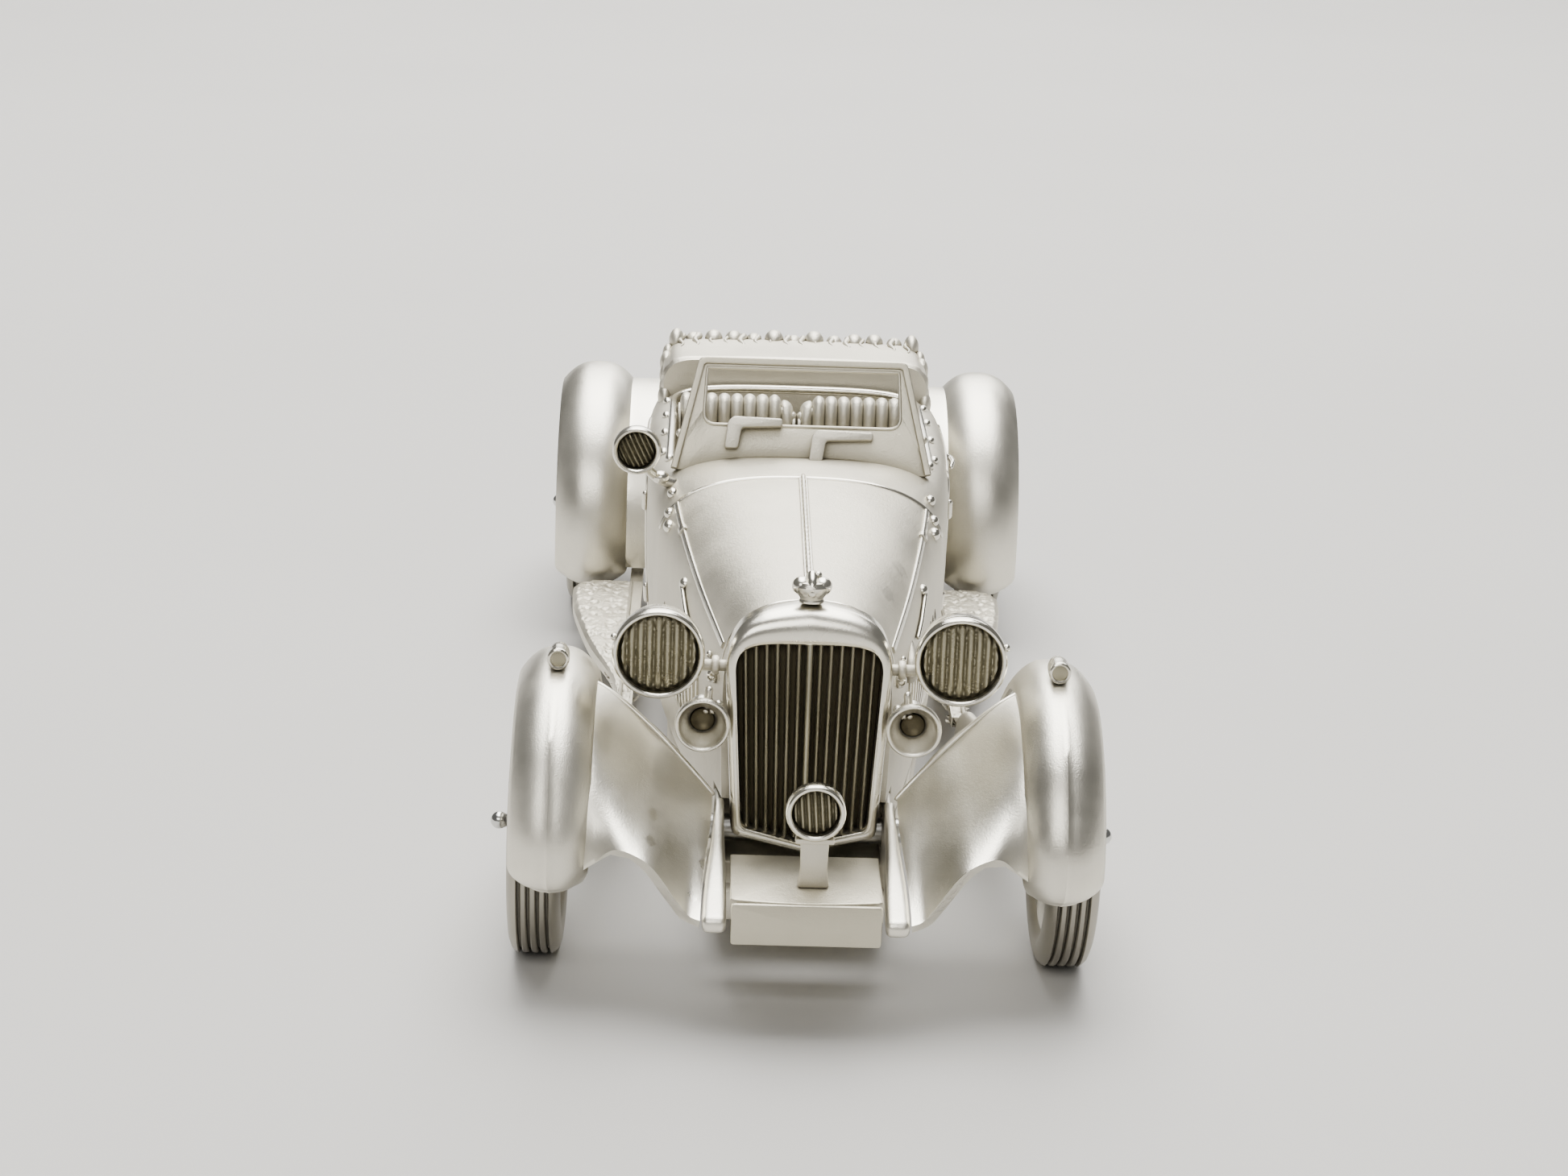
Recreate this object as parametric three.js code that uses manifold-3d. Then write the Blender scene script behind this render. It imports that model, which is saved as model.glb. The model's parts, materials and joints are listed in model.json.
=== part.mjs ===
// Cast white-metal collector's model of a 1930s open tourer, about 1:43.
// Millimetres, +Z up. The car faces -Y, so +X is its left side. The origin is on the ground,
// at the middle of the length and of the width.
import * as THREE from "three";
import { mergeVertices } from "three/addons/utils/BufferGeometryUtils.js";
import Module from "manifold-3d";

const wasm = await Module();
wasm.setup();

// ---------------------------------------------------------------- driving dimensions
const gap = 0.3; // between castings that are soldered or pressed together
const wall = 0.6; // sheet thickness of the fenders and aprons

const wheelbase = 72;
const frontOverhang = 13.9; // front axle to the face of the front number plate
const rearOverhang = 16.4; // rear axle to the face of the rear number plate

const tyreRadius = 8.2;
const tyreWidth = 3.3;
const tyreInner = 6.1; // radius of the tyre's bead
const axleRadius = 0.8;
const axleRunning = 0.15; // axle to the bearing holes
const axlePress = 0.06; // axle to the wheel hubs
const hubBall = 0.55; // radius of the ball on each axle end
const hubProud = 0.9; // ball's middle beyond the tyre's outer face

const chassisBottom = 4.2;
const chassisTop = 6.5;
const railInner = 4.65; // frame rails, from the middle of the car
const railOuter = 5.9;

const bodyHalf = 11.2; // half width at the doors
const bodyBottom = 6.9;
const deckTop = 23.5; // rear deck and cockpit edge
const scuttleTop = 24.1;
const noseTop = 22.9; // top of the bonnet behind the radiator
const noseHalf = 5.4;

const bonnetEnd = 25; // joint between bonnet and scuttle
const cockpitFront = 33.4;
const cockpitRear = wheelbase - 20.2;
const cockpitHalf = bodyHalf - 2;
const cockpitFloor = 10.5;

const shellHalf = 5.1;
const shellFootHalf = 4.5;
const shellHeight = 15.7;
const shellDepth = 2.3;
const shellFoot = new THREE.Vector3(0, -3.4, 7.9); // middle of its front lower edge
const shellLean = THREE.MathUtils.degToRad(4);
const shellRim = 0.62; // width of the rim round the grille
const grilleBars = 6; // on each side of the centre bar

const fenderInner = bodyHalf + 1.8; // crown's inner edge
const fenderOuter = fenderInner + 4.9;
const fenderRise = tyreRadius + 2.7; // hub to the crown's crest
const fenderReach = tyreRadius + 3.4; // hub to the crown's foremost point
const rearFenderInner = bodyHalf + 1.7;
const rearFenderOuter = rearFenderInner + 5.9;
const rearFenderRise = tyreRadius + 3.7;
const trackHalf = fenderOuter + 0.2 - tyreWidth / 2; // middle of the car to the middle of a tyre
const boardReach = 5.55; // running board's greatest width

const screenFootY = 29.5;
const screenFootHalf = bodyHalf - 2;
const screenTopHalf = screenFootHalf - 1.85;
const screenHeight = 8.1; // along the raked frame
const screenRake = THREE.MathUtils.degToRad(25.6);
const screenThick = 0.9;

const headlampRadius = 2.85;
const headlampRise = 1.2; // lamp's middle above the fender's crest
const headlampAt = new THREE.Vector3(
  shellHalf + headlampRadius + 1.3,
  -2.6,
  tyreRadius + fenderRise + headlampRise,
);
const hornRadius = 1.72;
const hornAt = new THREE.Vector3(shellHalf + 1.35, -4, 16.3);
const fogRadius = 1.78;
const fogAt = new THREE.Vector3(0.4, -11.5, 13.7);
const spotRadius = 1.68;
const spotAt = new THREE.Vector3(-bodyHalf - 0.3, 25.6, 25.4);

const plateHalf = railInner - 0.2;
const plateHeight = 2.6;
const plateThick = 0.5;

// ---------------------------------------------------------------- materials
const satin = { color: 0xc9c3b0, roughness: 0.42, metalness: 0.95 };
const bright = { color: 0xe4dfcf, roughness: 0.22, metalness: 1.0 };
const dark = { color: 0x4a4536, roughness: 0.6, metalness: 0.8 };
const lens = { color: 0x6e6a55, roughness: 0.5, metalness: 0.85 };
const tread = { color: 0x6d6a62, roughness: 0.55, metalness: 0.8 };
const steel = { color: 0xb9bbbd, roughness: 0.3, metalness: 1.0 };

// ---------------------------------------------------------------- helpers
// A closed geometry as a manifold solid.
function solid(geometry) {
  const bare = geometry.index ? geometry.toNonIndexed() : geometry.clone();
  bare.deleteAttribute("normal");
  bare.deleteAttribute("uv");
  const merged = mergeVertices(bare, 1e-4);
  const vertProperties = merged.attributes.position.array;
  const triVerts = new Uint32Array(merged.index.array);
  const made = new wasm.Manifold(new wasm.Mesh({ numProp: 3, vertProperties, triVerts }));
  if (made.volume() > 0) return made;
  for (let i = 0; i < triVerts.length; i += 3) {
    [triVerts[i + 1], triVerts[i + 2]] = [triVerts[i + 2], triVerts[i + 1]];
  }
  return new wasm.Manifold(new wasm.Mesh({ numProp: 3, vertProperties, triVerts }));
}

function geometryOf(manifold) {
  const mesh = manifold.getMesh();
  const geometry = new THREE.BufferGeometry();
  geometry.setAttribute("position", new THREE.BufferAttribute(mesh.vertProperties, 3));
  geometry.setIndex(new THREE.BufferAttribute(mesh.triVerts, 1));
  return geometry;
}

// The join of several closed geometries or solids.
function join(...pieces) {
  const solids = pieces.map((piece) => (piece.isBufferGeometry ? solid(piece) : piece));
  return solids.reduce((whole, piece) => whole.add(piece));
}

// Triangles that close a flat or nearly flat ring of points.
function capOf(ring) {
  const normal = new THREE.Vector3();
  ring.forEach((p, i) => {
    const q = ring[(i + 1) % ring.length];
    normal.add(new THREE.Vector3().crossVectors(p, q));
  });
  normal.normalize();
  const flat = new THREE.Quaternion().setFromUnitVectors(normal, new THREE.Vector3(0, 0, 1));
  const outline = ring.map((p) => {
    const turned = p.clone().applyQuaternion(flat);
    return new THREE.Vector2(turned.x, turned.y);
  });
  return THREE.ShapeUtils.triangulateShape(outline, []);
}

// A closed solid through rings of equal point count, capped at both ends.
function loft(rings) {
  const count = rings[0].length;
  const last = (rings.length - 1) * count;
  const index = [];
  for (let r = 0; r < rings.length - 1; r++) {
    for (let i = 0; i < count; i++) {
      const a = r * count + i;
      const b = r * count + ((i + 1) % count);
      index.push(a, b, b + count, a, b + count, a + count);
    }
  }
  for (const [a, b, c] of capOf(rings[0])) index.push(c, b, a);
  for (const [a, b, c] of capOf(rings[rings.length - 1])) index.push(last + a, last + b, last + c);
  const geometry = new THREE.BufferGeometry().setFromPoints(rings.flat());
  geometry.setIndex(index);
  return solid(geometry);
}

// A sheet of the given thickness under a surface point(u, v), with u and v from 0 to 1.
function sheet(point, across, along, thickness) {
  const down = (u, v) => {
    const e = 1e-3;
    const du = point(u + e, v).sub(point(u - e, v));
    const dv = point(u, v + e).sub(point(u, v - e));
    const normal = du.cross(dv).normalize();
    if (normal.z < 0) normal.negate();
    return point(u, v).addScaledVector(normal, -thickness);
  };
  const rings = steps(along).map((v) => [
    ...steps(across).map((u) => point(u, v)),
    ...steps(across).reverse().map((u) => down(u, v)),
  ]);
  return loft(rings);
}

// count + 1 even steps from 0 to 1.
function steps(count) {
  return Array.from({ length: count + 1 }, (_, i) => i / count);
}

function box(x0, x1, y0, y1, z0, z1) {
  const geometry = new THREE.BoxGeometry(x1 - x0, y1 - y0, z1 - z0);
  return geometry.translate((x0 + x1) / 2, (y0 + y1) / 2, (z0 + z1) / 2);
}

// A profile of [radius, depth] points turned about the Y axis, depth running backwards (+Y).
function turned(profile, segments) {
  const points = profile.map(([radius, depth]) => new THREE.Vector2(radius, depth));
  return new THREE.LatheGeometry(points, segments);
}

// A profile of [radius, x] points turned about the X axis.
function turnedAcross(profile, segments) {
  return turned(profile, segments).rotateZ(-Math.PI / 2);
}

// A shape drawn in X and Z, extruded backwards (+Y) by depth.
function upright(shape, depth, curveSegments = 6) {
  const geometry = new THREE.ExtrudeGeometry(shape, { depth, bevelEnabled: false, curveSegments });
  return geometry.rotateX(Math.PI / 2).translate(0, depth, 0);
}

// A shape drawn in X and Y, extruded upwards by depth.
function raised(shape, depth, curveSegments = 6) {
  return new THREE.ExtrudeGeometry(shape, { depth, bevelEnabled: false, curveSegments });
}

// A shape drawn in Y and Z, extruded from x0 to x1.
function sideways(shape, x0, x1, curveSegments = 6) {
  const geometry = new THREE.ExtrudeGeometry(shape, {
    depth: x1 - x0,
    bevelEnabled: false,
    curveSegments,
  });
  return geometry.rotateX(Math.PI / 2).rotateZ(Math.PI / 2).translate(x0, 0, 0);
}

// A round bar along a curve through the given points.
function bar(points, radius, segments = 8, sides = 8) {
  const section = new THREE.Shape();
  section.absarc(0, 0, radius, 0, Math.PI * 2);
  const curve = new THREE.CatmullRomCurve3(points.map((p) => new THREE.Vector3(...p)));
  return new THREE.ExtrudeGeometry(section, {
    steps: segments,
    curveSegments: sides,
    extrudePath: curve,
  });
}

function outline(points) {
  return new THREE.Shape(points.map(([a, b]) => new THREE.Vector2(a, b)));
}

// A smooth function of one number through [position, value] pairs.
function through(pairs) {
  const curve = new THREE.SplineCurve(pairs.map(([a, b]) => new THREE.Vector2(a, b)));
  const first = pairs[0][0];
  const last = pairs[pairs.length - 1][0];
  return (position) => {
    const at = THREE.MathUtils.clamp(position, first, last);
    let low = 0;
    let high = 1;
    for (let i = 0; i < 30; i++) {
      const middle = (low + high) / 2;
      if (curve.getPoint(middle).x < at) low = middle;
      else high = middle;
    }
    return curve.getPoint((low + high) / 2).y;
  };
}

const car = new THREE.Group();
car.position.y = (frontOverhang - wheelbase - rearOverhang) / 2;

// Adds one named piece; shape is a solid or a closed geometry.
function piece(name, look, shape, parent = car) {
  const geometry = shape.isBufferGeometry ? geometryOf(solid(shape)) : geometryOf(shape);
  const mesh = new THREE.Mesh(geometry, new THREE.MeshStandardMaterial(look));
  mesh.name = name;
  parent.add(mesh);
  return mesh;
}

// The same piece on the car's left (+X) and, mirrored, on its right (-X).
function pair(name, look, shape) {
  const left = shape.isBufferGeometry ? solid(shape) : shape;
  piece(name + "_left", look, left);
  piece(name + "_right", look, left.mirror([1, 0, 0]));
}

// ---------------------------------------------------------------- body surface
const tailEnd = wheelbase + rearOverhang - 0.9;
const bodyHalfAt = through([
  [-4, noseHalf - 0.7],
  [1, noseHalf],
  [12, 0.68 * bodyHalf],
  [bonnetEnd, 0.885 * bodyHalf],
  [cockpitFront, 0.96 * bodyHalf],
  [cockpitRear - 6, bodyHalf],
  [wheelbase - 12, 0.97 * bodyHalf],
  [wheelbase - 3, 0.88 * bodyHalf],
  [wheelbase + 7, 0.72 * bodyHalf],
  [tailEnd - 1.6, 0.56 * bodyHalf],
  [tailEnd, 0.4 * bodyHalf],
]);
const bodyTopAt = through([
  [-4, noseTop - 0.2],
  [1, noseTop],
  [bonnetEnd, scuttleTop],
  [screenFootY, scuttleTop],
  [cockpitFront, scuttleTop - 0.4],
  [cockpitRear, deckTop],
  [wheelbase - 10, deckTop - 1],
  [wheelbase + 2, deckTop - 4],
  [tailEnd - 3, deckTop - 9.6],
  [tailEnd, deckTop - 12.4],
]);
const shoulderAt = through([
  [-4, 17],
  [bonnetEnd - 5, 18],
  [cockpitFront, 20],
  [cockpitRear, 19.6],
  [wheelbase, 14.5],
  [tailEnd, 9.5],
]);
const squareness = through([
  [-4, 2.5],
  [bonnetEnd, 2.6],
  [cockpitFront, 3.2],
  [cockpitRear, 3.6],
  [wheelbase, 2.8],
  [tailEnd, 2.4],
]);

// The closed outline of the body at one station, as [x, z] points.
function bodySection(y, arc = 8) {
  const half = bodyHalfAt(y);
  const top = bodyTopAt(y);
  const shoulder = shoulderAt(y);
  const power = 2 / squareness(y);
  const side = [
    [0.93 * half, bodyBottom],
    [0.99 * half, (bodyBottom + shoulder) / 2],
  ];
  const arch = steps(arc).map((t) => {
    const angle = (t * Math.PI) / 2;
    const x = half * Math.cos(angle) ** power;
    const z = shoulder + (top - shoulder) * Math.sin(angle) ** power;
    return [t === 1 ? 0 : x, z];
  });
  const left = [...side, ...arch];
  const right = left.slice(0, -1).reverse().map(([x, z]) => [-x, z]);
  return [...left, ...right];
}

function bodyLoft(stations, leanAt = () => 0) {
  return loft(
    stations.map((y) =>
      bodySection(y).map(([x, z]) => new THREE.Vector3(x, y + leanAt(y) * (noseTop - z), z)),
    ),
  );
}

// Space kept open across the car for an axle and its bearings.
const bearingHalf = axleRadius + 1.1;
function axleTunnel(y) {
  const top = tyreRadius + bearingHalf + gap;
  return solid(box(-bodyHalf - 2, bodyHalf + 2, y - bearingHalf - gap, y + bearingHalf + gap, 0, top));
}

// ---------------------------------------------------------------- chassis, axles and wheels
function chassis() {
  const plate = outline([
    [-railOuter, -1.5],
    [railOuter, -1.5],
    [0.9 * bodyHalf - 1.2, bonnetEnd],
    [0.9 * bodyHalf - 0.6, wheelbase - 14],
    [railOuter + 0.6, wheelbase - 6],
    [railOuter, tailEnd - 4],
    [-railOuter, tailEnd - 4],
    [-railOuter - 0.6, wheelbase - 6],
    [-0.9 * bodyHalf + 0.6, wheelbase - 14],
    [-0.9 * bodyHalf + 1.2, bonnetEnd],
  ]);
  const base = raised(plate, chassisTop - chassisBottom).translate(0, 0, chassisBottom);
  const hub = tyreRadius;
  const tip = -frontOverhang + 0.4;
  const horn = new THREE.Shape();
  horn.moveTo(bearingHalf, chassisBottom + 0.4);
  horn.lineTo(bearingHalf, hub + bearingHalf);
  horn.lineTo(-3, 10.6);
  horn.quadraticCurveTo(-8, 10.2, tip, 7.9);
  horn.quadraticCurveTo(tip - 0.1, 7.0, tip + 0.8, 6.8);
  horn.quadraticCurveTo(-7, 7.4, -4, chassisBottom + 0.4);
  const block = outline([
    [wheelbase - bearingHalf, chassisTop - 0.2],
    [wheelbase + bearingHalf, chassisTop - 0.2],
    [wheelbase + bearingHalf, hub + bearingHalf],
    [wheelbase - bearingHalf, hub + bearingHalf],
  ]);
  const sides = [-1, 1].flatMap((side) => {
    const [x0, x1] = side > 0 ? [railInner, railOuter] : [-railOuter, -railInner];
    return [sideways(horn, x0, x1), sideways(block, x0, x1)];
  });
  const crossMember = box(-railOuter, railOuter, -6.4, -4.9, chassisBottom + 0.4, chassisTop);
  const bore = axleRadius + axleRunning;
  const holes = [0, wheelbase].map((y) => {
    const hole = new THREE.CylinderGeometry(bore, bore, 40, 16);
    return solid(hole.rotateZ(Math.PI / 2).translate(0, y, hub));
  });
  const screws = screwPlaces.map((y) => {
    const hole = new THREE.CylinderGeometry(screwHead + gap, screwHead + gap, 2 * screwSink, 16);
    return solid(hole.rotateX(Math.PI / 2).translate(0, y, chassisBottom));
  });
  const clear = pipeRadius + gap;
  const top = chassisBottom + pipeRise + clear;
  const channel = solid(box(pipeX - clear, pipeX + clear, pipeFrontY - gap, tailEnd, 0, top));
  const cuts = [...holes, ...screws, channel];
  return cuts.reduce((whole, cut) => whole.subtract(cut), join(base, crossMember, ...sides));
}

// The exhaust pipe lies in a channel of the base, so the base stands flat.
const pipeRadius = 0.6;
const pipeX = 3.4;
const pipeRise = 0.75; // pipe's middle above the base's underside
const pipeFrontY = 20;

const screwPlaces = [12, wheelbase - 20];
const screwHead = 1.4;
const screwSink = 1.1;

function baseScrew(y) {
  const head = turned([[0, 0], [screwHead, 0], [screwHead, 0.5], [0.7, screwSink - gap], [0, screwSink - gap]], 14);
  const standing = solid(head.rotateX(Math.PI / 2).translate(0, y, chassisBottom));
  return standing.subtract(solid(box(-2, 2, y - 0.18, y + 0.18, chassisBottom - 1, chassisBottom + 0.35)));
}

const hubFace = trackHalf + tyreWidth / 2 + hubProud;

function axle(y) {
  const half = [[0, hubFace + hubBall], [0.7 * hubBall, hubFace + 0.7 * hubBall]];
  const profile = [
    ...half,
    [hubBall, hubFace],
    [0.6 * hubBall, hubFace - 0.45],
    [axleRadius, trackHalf + tyreWidth / 2 + 0.2],
  ];
  const mirrored = [...profile].reverse().map(([r, x]) => [r, -x]);
  return solid(turnedAcross([...profile, ...mirrored].reverse(), 12)).translate(0, y, tyreRadius);
}

const wheelSides = 20;

// One wheel's tyre, with two grooves round the tread; x runs outwards from its middle.
function tyre() {
  const w = tyreWidth / 2;
  const r = tyreRadius;
  const grooves = [-0.2, 0.2].flatMap((at) => [
    [r, (at - 0.08) * tyreWidth],
    [r - 0.35, at * tyreWidth],
    [r, (at + 0.08) * tyreWidth],
  ]);
  const profile = [
    [tyreInner, -w + 0.5],
    [tyreInner + 0.7, -w],
    [r - 0.9, -w],
    [r, -w + 0.5],
    ...grooves,
    [r, w - 0.5],
    [r - 0.9, w],
    [tyreInner + 0.7, w],
    [tyreInner, w - 0.5],
    [tyreInner, -w + 0.5],
  ];
  return solid(turnedAcross(profile, wheelSides));
}

// One wheel: rim, dished disc and hub, with a hole for the axle end.
function wheel() {
  const w = tyreWidth / 2;
  const rim = tyreInner - 0.12;
  const bore = axleRadius + axlePress;
  const profile = [
    [bore, -w + 0.6],
    [1.9, -w + 0.6],
    [rim - 0.9, -w + 0.9],
    [rim, -w + 0.5],
    [rim, w - 0.5],
    [rim - 0.7, w - 0.5],
    [rim - 1, w - 1.2],
    [1.9, w - 0.7],
    [1.5, w + 0.25],
    [axlePress + axleRadius, w + 0.35],
    [bore, -w + 0.6],
  ];
  return solid(turnedAcross(profile, wheelSides));
}

function wheelSet(end, y) {
  piece(end + "_axle", steel, axle(y));
  const oneTyre = tyre();
  const oneWheel = wheel();
  for (const [side, sign] of [["left", 1], ["right", -1]]) {
    const place = (shape) => {
      const outward = sign > 0 ? shape : shape.mirror([1, 0, 0]);
      return outward.translate(sign * trackHalf, y, tyreRadius);
    };
    piece("tyre_" + end + "_" + side, tread, place(oneTyre));
    piece("wheel_" + end + "_" + side, bright, place(oneWheel));
  }
}

// ---------------------------------------------------------------- castings
function bonnet() {
  const stations = [0.75, 6, 12, 18.5, bonnetEnd - gap / 2];
  const lean = (y) => -Math.tan(shellLean) * (1 - (y - 0.75) / (bonnetEnd - 0.75));
  const shell = bodyLoft(stations, lean);
  const hinge = [1.2, bonnetEnd - gap / 2].flatMap((y) => [
    new THREE.Vector3(-0.22, y, bodyTopAt(y) - 0.4),
    new THREE.Vector3(-0.22, y, bodyTopAt(y) + 0.22),
    new THREE.Vector3(0.22, y, bodyTopAt(y) + 0.22),
    new THREE.Vector3(0.22, y, bodyTopAt(y) - 0.4),
  ]);
  const strip = loft([hinge.slice(0, 4), hinge.slice(4)]);
  return join(shell, strip).subtract(axleTunnel(0));
}

function bodyTub() {
  const rear = steps(9).map((t) => THREE.MathUtils.lerp(cockpitRear, tailEnd - 1.6, t));
  const stations = [bonnetEnd + gap / 2, screenFootY, cockpitFront, 39, cockpitRear - 6, ...rear, tailEnd - 0.5, tailEnd];
  const whole = bodyLoft(stations);
  const corner = 2.2;
  const hollow = new THREE.Shape();
  hollow.moveTo(-cockpitHalf, cockpitFront);
  hollow.lineTo(cockpitHalf, cockpitFront);
  hollow.lineTo(cockpitHalf, cockpitRear - corner);
  hollow.quadraticCurveTo(cockpitHalf, cockpitRear, cockpitHalf - corner, cockpitRear);
  hollow.lineTo(-cockpitHalf + corner, cockpitRear);
  hollow.quadraticCurveTo(-cockpitHalf, cockpitRear, -cockpitHalf, cockpitRear - corner);
  const cavity = solid(raised(hollow, 30, 4).translate(0, 0, cockpitFloor));
  return whole.subtract(cavity).subtract(axleTunnel(wheelbase));
}

// The crown of a fender: rings of a rounded channel section carried along stations.
// Each station has the point on the crest line, the inward direction, and both edges' X.
function channel(stations, drop, innerDrop) {
  const section = (inner, outer) => {
    const w = outer - inner;
    const top = steps(6).map((t) => {
      const bulge = Math.abs(2 * t - 1) ** 2.5;
      return [inner + w * t, -bulge * 1.5];
    });
    const skirt = [outer, -drop];
    const lip = [inner, -innerDrop];
    const under = steps(4).reverse().map((t) => {
      const bulge = Math.abs(2 * t - 1) ** 2.5;
      return [inner + wall + (w - 2 * wall) * t, -wall - bulge * 1.2];
    });
    return [lip, ...top, skirt, [outer - wall, -drop], ...under, [inner + wall, -innerDrop]];
  };
  return loft(
    stations.map(({ at, normal, inner, outer }) =>
      section(inner, outer).map(
        ([x, depth]) => new THREE.Vector3(x, at.x + normal.x * depth, at.y + normal.y * depth),
      ),
    ),
  );
}

const frontCrest = new THREE.SplineCurve(
  [
    [-fenderReach, tyreRadius + 0.1],
    [-0.93 * fenderReach, tyreRadius + 0.38 * fenderRise],
    [-0.7 * fenderReach, tyreRadius + 0.72 * fenderRise],
    [-0.36 * fenderReach, tyreRadius + 0.945 * fenderRise],
    [0, tyreRadius + fenderRise],
    [0.42 * fenderReach, tyreRadius + 0.92 * fenderRise],
    [0.86 * fenderReach, tyreRadius + 0.63 * fenderRise],
    [1.3 * fenderReach, tyreRadius + 0.22 * fenderRise],
    [bonnetEnd - 2, bodyBottom + 0.4],
    [bonnetEnd + 4, bodyBottom - 0.9],
  ].map(([y, z]) => new THREE.Vector2(y, z)),
);

function frontFender() {
  const stations = steps(16).map((t) => {
    const at = frontCrest.getPointAt(t);
    const along = frontCrest.getTangentAt(t);
    const fade = THREE.MathUtils.smoothstep(at.x, 6, bonnetEnd + 4);
    return {
      at,
      normal: new THREE.Vector2(-along.y, along.x),
      inner: THREE.MathUtils.lerp(fenderInner, bodyHalf + 0.5, fade),
      outer: THREE.MathUtils.lerp(fenderOuter, bodyHalf + 2.3, fade),
    };
  });
  const crown = channel(stations, 2.6, 2.1);
  const apron = sheet(apronPoint, 6, 6, wall);
  return join(crown, apron);
}

// The apron between the crown's inner edge (u = 0) and the frame horn (u = 1);
// v runs from its upper rear edge to its lower front edge.
function apronPoint(u, v) {
  const x = THREE.MathUtils.lerp(fenderInner + 0.3, railOuter + gap, u);
  const crest = tyreRadius + fenderRise - 1.7;
  const start = new THREE.Vector2(1 + 1.2 * u, crest - 6.8 * u * u);
  const arch = 1.0 * Math.sin(Math.PI * THREE.MathUtils.clamp(u / 0.7, 0, 1));
  const foot = tyreRadius + 1.6 + arch - 2.9 * THREE.MathUtils.smoothstep(u, 0.5, 0.94);
  const end = new THREE.Vector2(-fenderReach + 1.3 - 2.3 * u, foot);
  const knee = new THREE.Vector2(
    THREE.MathUtils.lerp(-fenderReach + 1.6, -6.5, u),
    THREE.MathUtils.lerp(crest + 0.2, 10.6, Math.sqrt(Math.max(0, u)) * u),
  );
  const curve = new THREE.QuadraticBezierCurve(start, knee, end);
  const p = curve.getPoint(v);
  return new THREE.Vector3(x, p.x, p.y);
}

function rearFender() {
  const from = THREE.MathUtils.degToRad(-20);
  const to = THREE.MathUtils.degToRad(190);
  const stations = steps(16).map((t) => {
    const angle = THREE.MathUtils.lerp(from, to, t);
    const normal = new THREE.Vector2(-Math.cos(angle), Math.sin(angle));
    const at = new THREE.Vector2(wheelbase, tyreRadius).addScaledVector(normal, rearFenderRise);
    return { at, normal, inner: rearFenderInner, outer: rearFenderOuter };
  });
  const crown = channel(stations, 3.1, 2.6);
  const panel = steps(12).map((t) => {
    const angle = THREE.MathUtils.lerp(-0.24, Math.PI - 0.3, t);
    const out = rearFenderRise - 1.35;
    return [out, out - wall].map((r) => [wheelbase - r * Math.cos(angle), tyreRadius + r * Math.sin(angle)]);
  });
  const rings = panel.map(([[y0, z0], [y1, z1]]) => {
    const x = bodyHalfAt(y0) * 0.8;
    return [
      new THREE.Vector3(x, y0, z0),
      new THREE.Vector3(rearFenderInner + 0.3, y0, z0),
      new THREE.Vector3(rearFenderInner + 0.3, y1, z1),
      new THREE.Vector3(x, y1, z1),
    ];
  });
  const scale = 1 + gap / (0.7 * bodyHalf);
  const rear = steps(9).map((t) => THREE.MathUtils.lerp(wheelbase - 18, tailEnd - 1.6, t));
  const body = bodyLoft([...rear, tailEnd - 0.5, tailEnd]).scale([scale, 1, 1]);
  const clear = body.translate(0, 0, gap).add(body.translate(0, 0, -4));
  return join(crown, loft(rings)).subtract(clear);
}

function runningBoard() {
  const from = bonnetEnd + 4.6;
  const to = wheelbase - rearFenderRise - gap;
  const inner = bodyHalf + 0.35;
  const outer = through(
    [
      [0, 0.15],
      [0.25, 0.32],
      [0.5, 0.68],
      [0.8, 0.96],
      [1, 1],
    ].map(([t, share]) => [from + t * (to - from), inner + share * boardReach]),
  );
  const plan = new THREE.Shape();
  plan.moveTo(inner, from);
  steps(8).forEach((t) => {
    const y = THREE.MathUtils.lerp(from, to - 1.5, t);
    plan.lineTo(outer(y), y);
  });
  plan.quadraticCurveTo(outer(to), to, outer(to) - 1.5, to);
  plan.lineTo(rearFenderInner - gap, to);
  plan.lineTo(rearFenderInner - gap, to + 4);
  plan.lineTo(inner, to + 4);
  return solid(raised(plan, 1, 3).translate(0, 0, chassisBottom));
}

// ---------------------------------------------------------------- radiator
const radiator = new THREE.Group();
radiator.position.copy(shellFoot);
radiator.rotation.x = -shellLean;
car.add(radiator);

// The front outline of the shell.
function shellOutline() {
  const inset = 0;
  const foot = shellFootHalf - inset;
  const half = shellHalf - inset;
  const top = shellHeight;
  const corner = shellHeight - 4.6;
  const shape = new THREE.Shape();
  shape.moveTo(0, inset);
  shape.lineTo(foot - 0.4, 0.9 + inset);
  shape.quadraticCurveTo(foot, 1 + inset, foot + 0.03, 1.6 + inset);
  shape.lineTo(half, corner);
  shape.bezierCurveTo(half, top - 0.9, half - 1.6, top - 0.5, 0, top);
  shape.bezierCurveTo(-half + 1.6, top - 0.5, -half, top - 0.9, -half, corner);
  shape.lineTo(-foot - 0.03, 1.6 + inset);
  shape.quadraticCurveTo(-foot, 1 + inset, -foot + 0.4, 0.9 + inset);
  shape.lineTo(0, inset);
  return shape;
}

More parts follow.
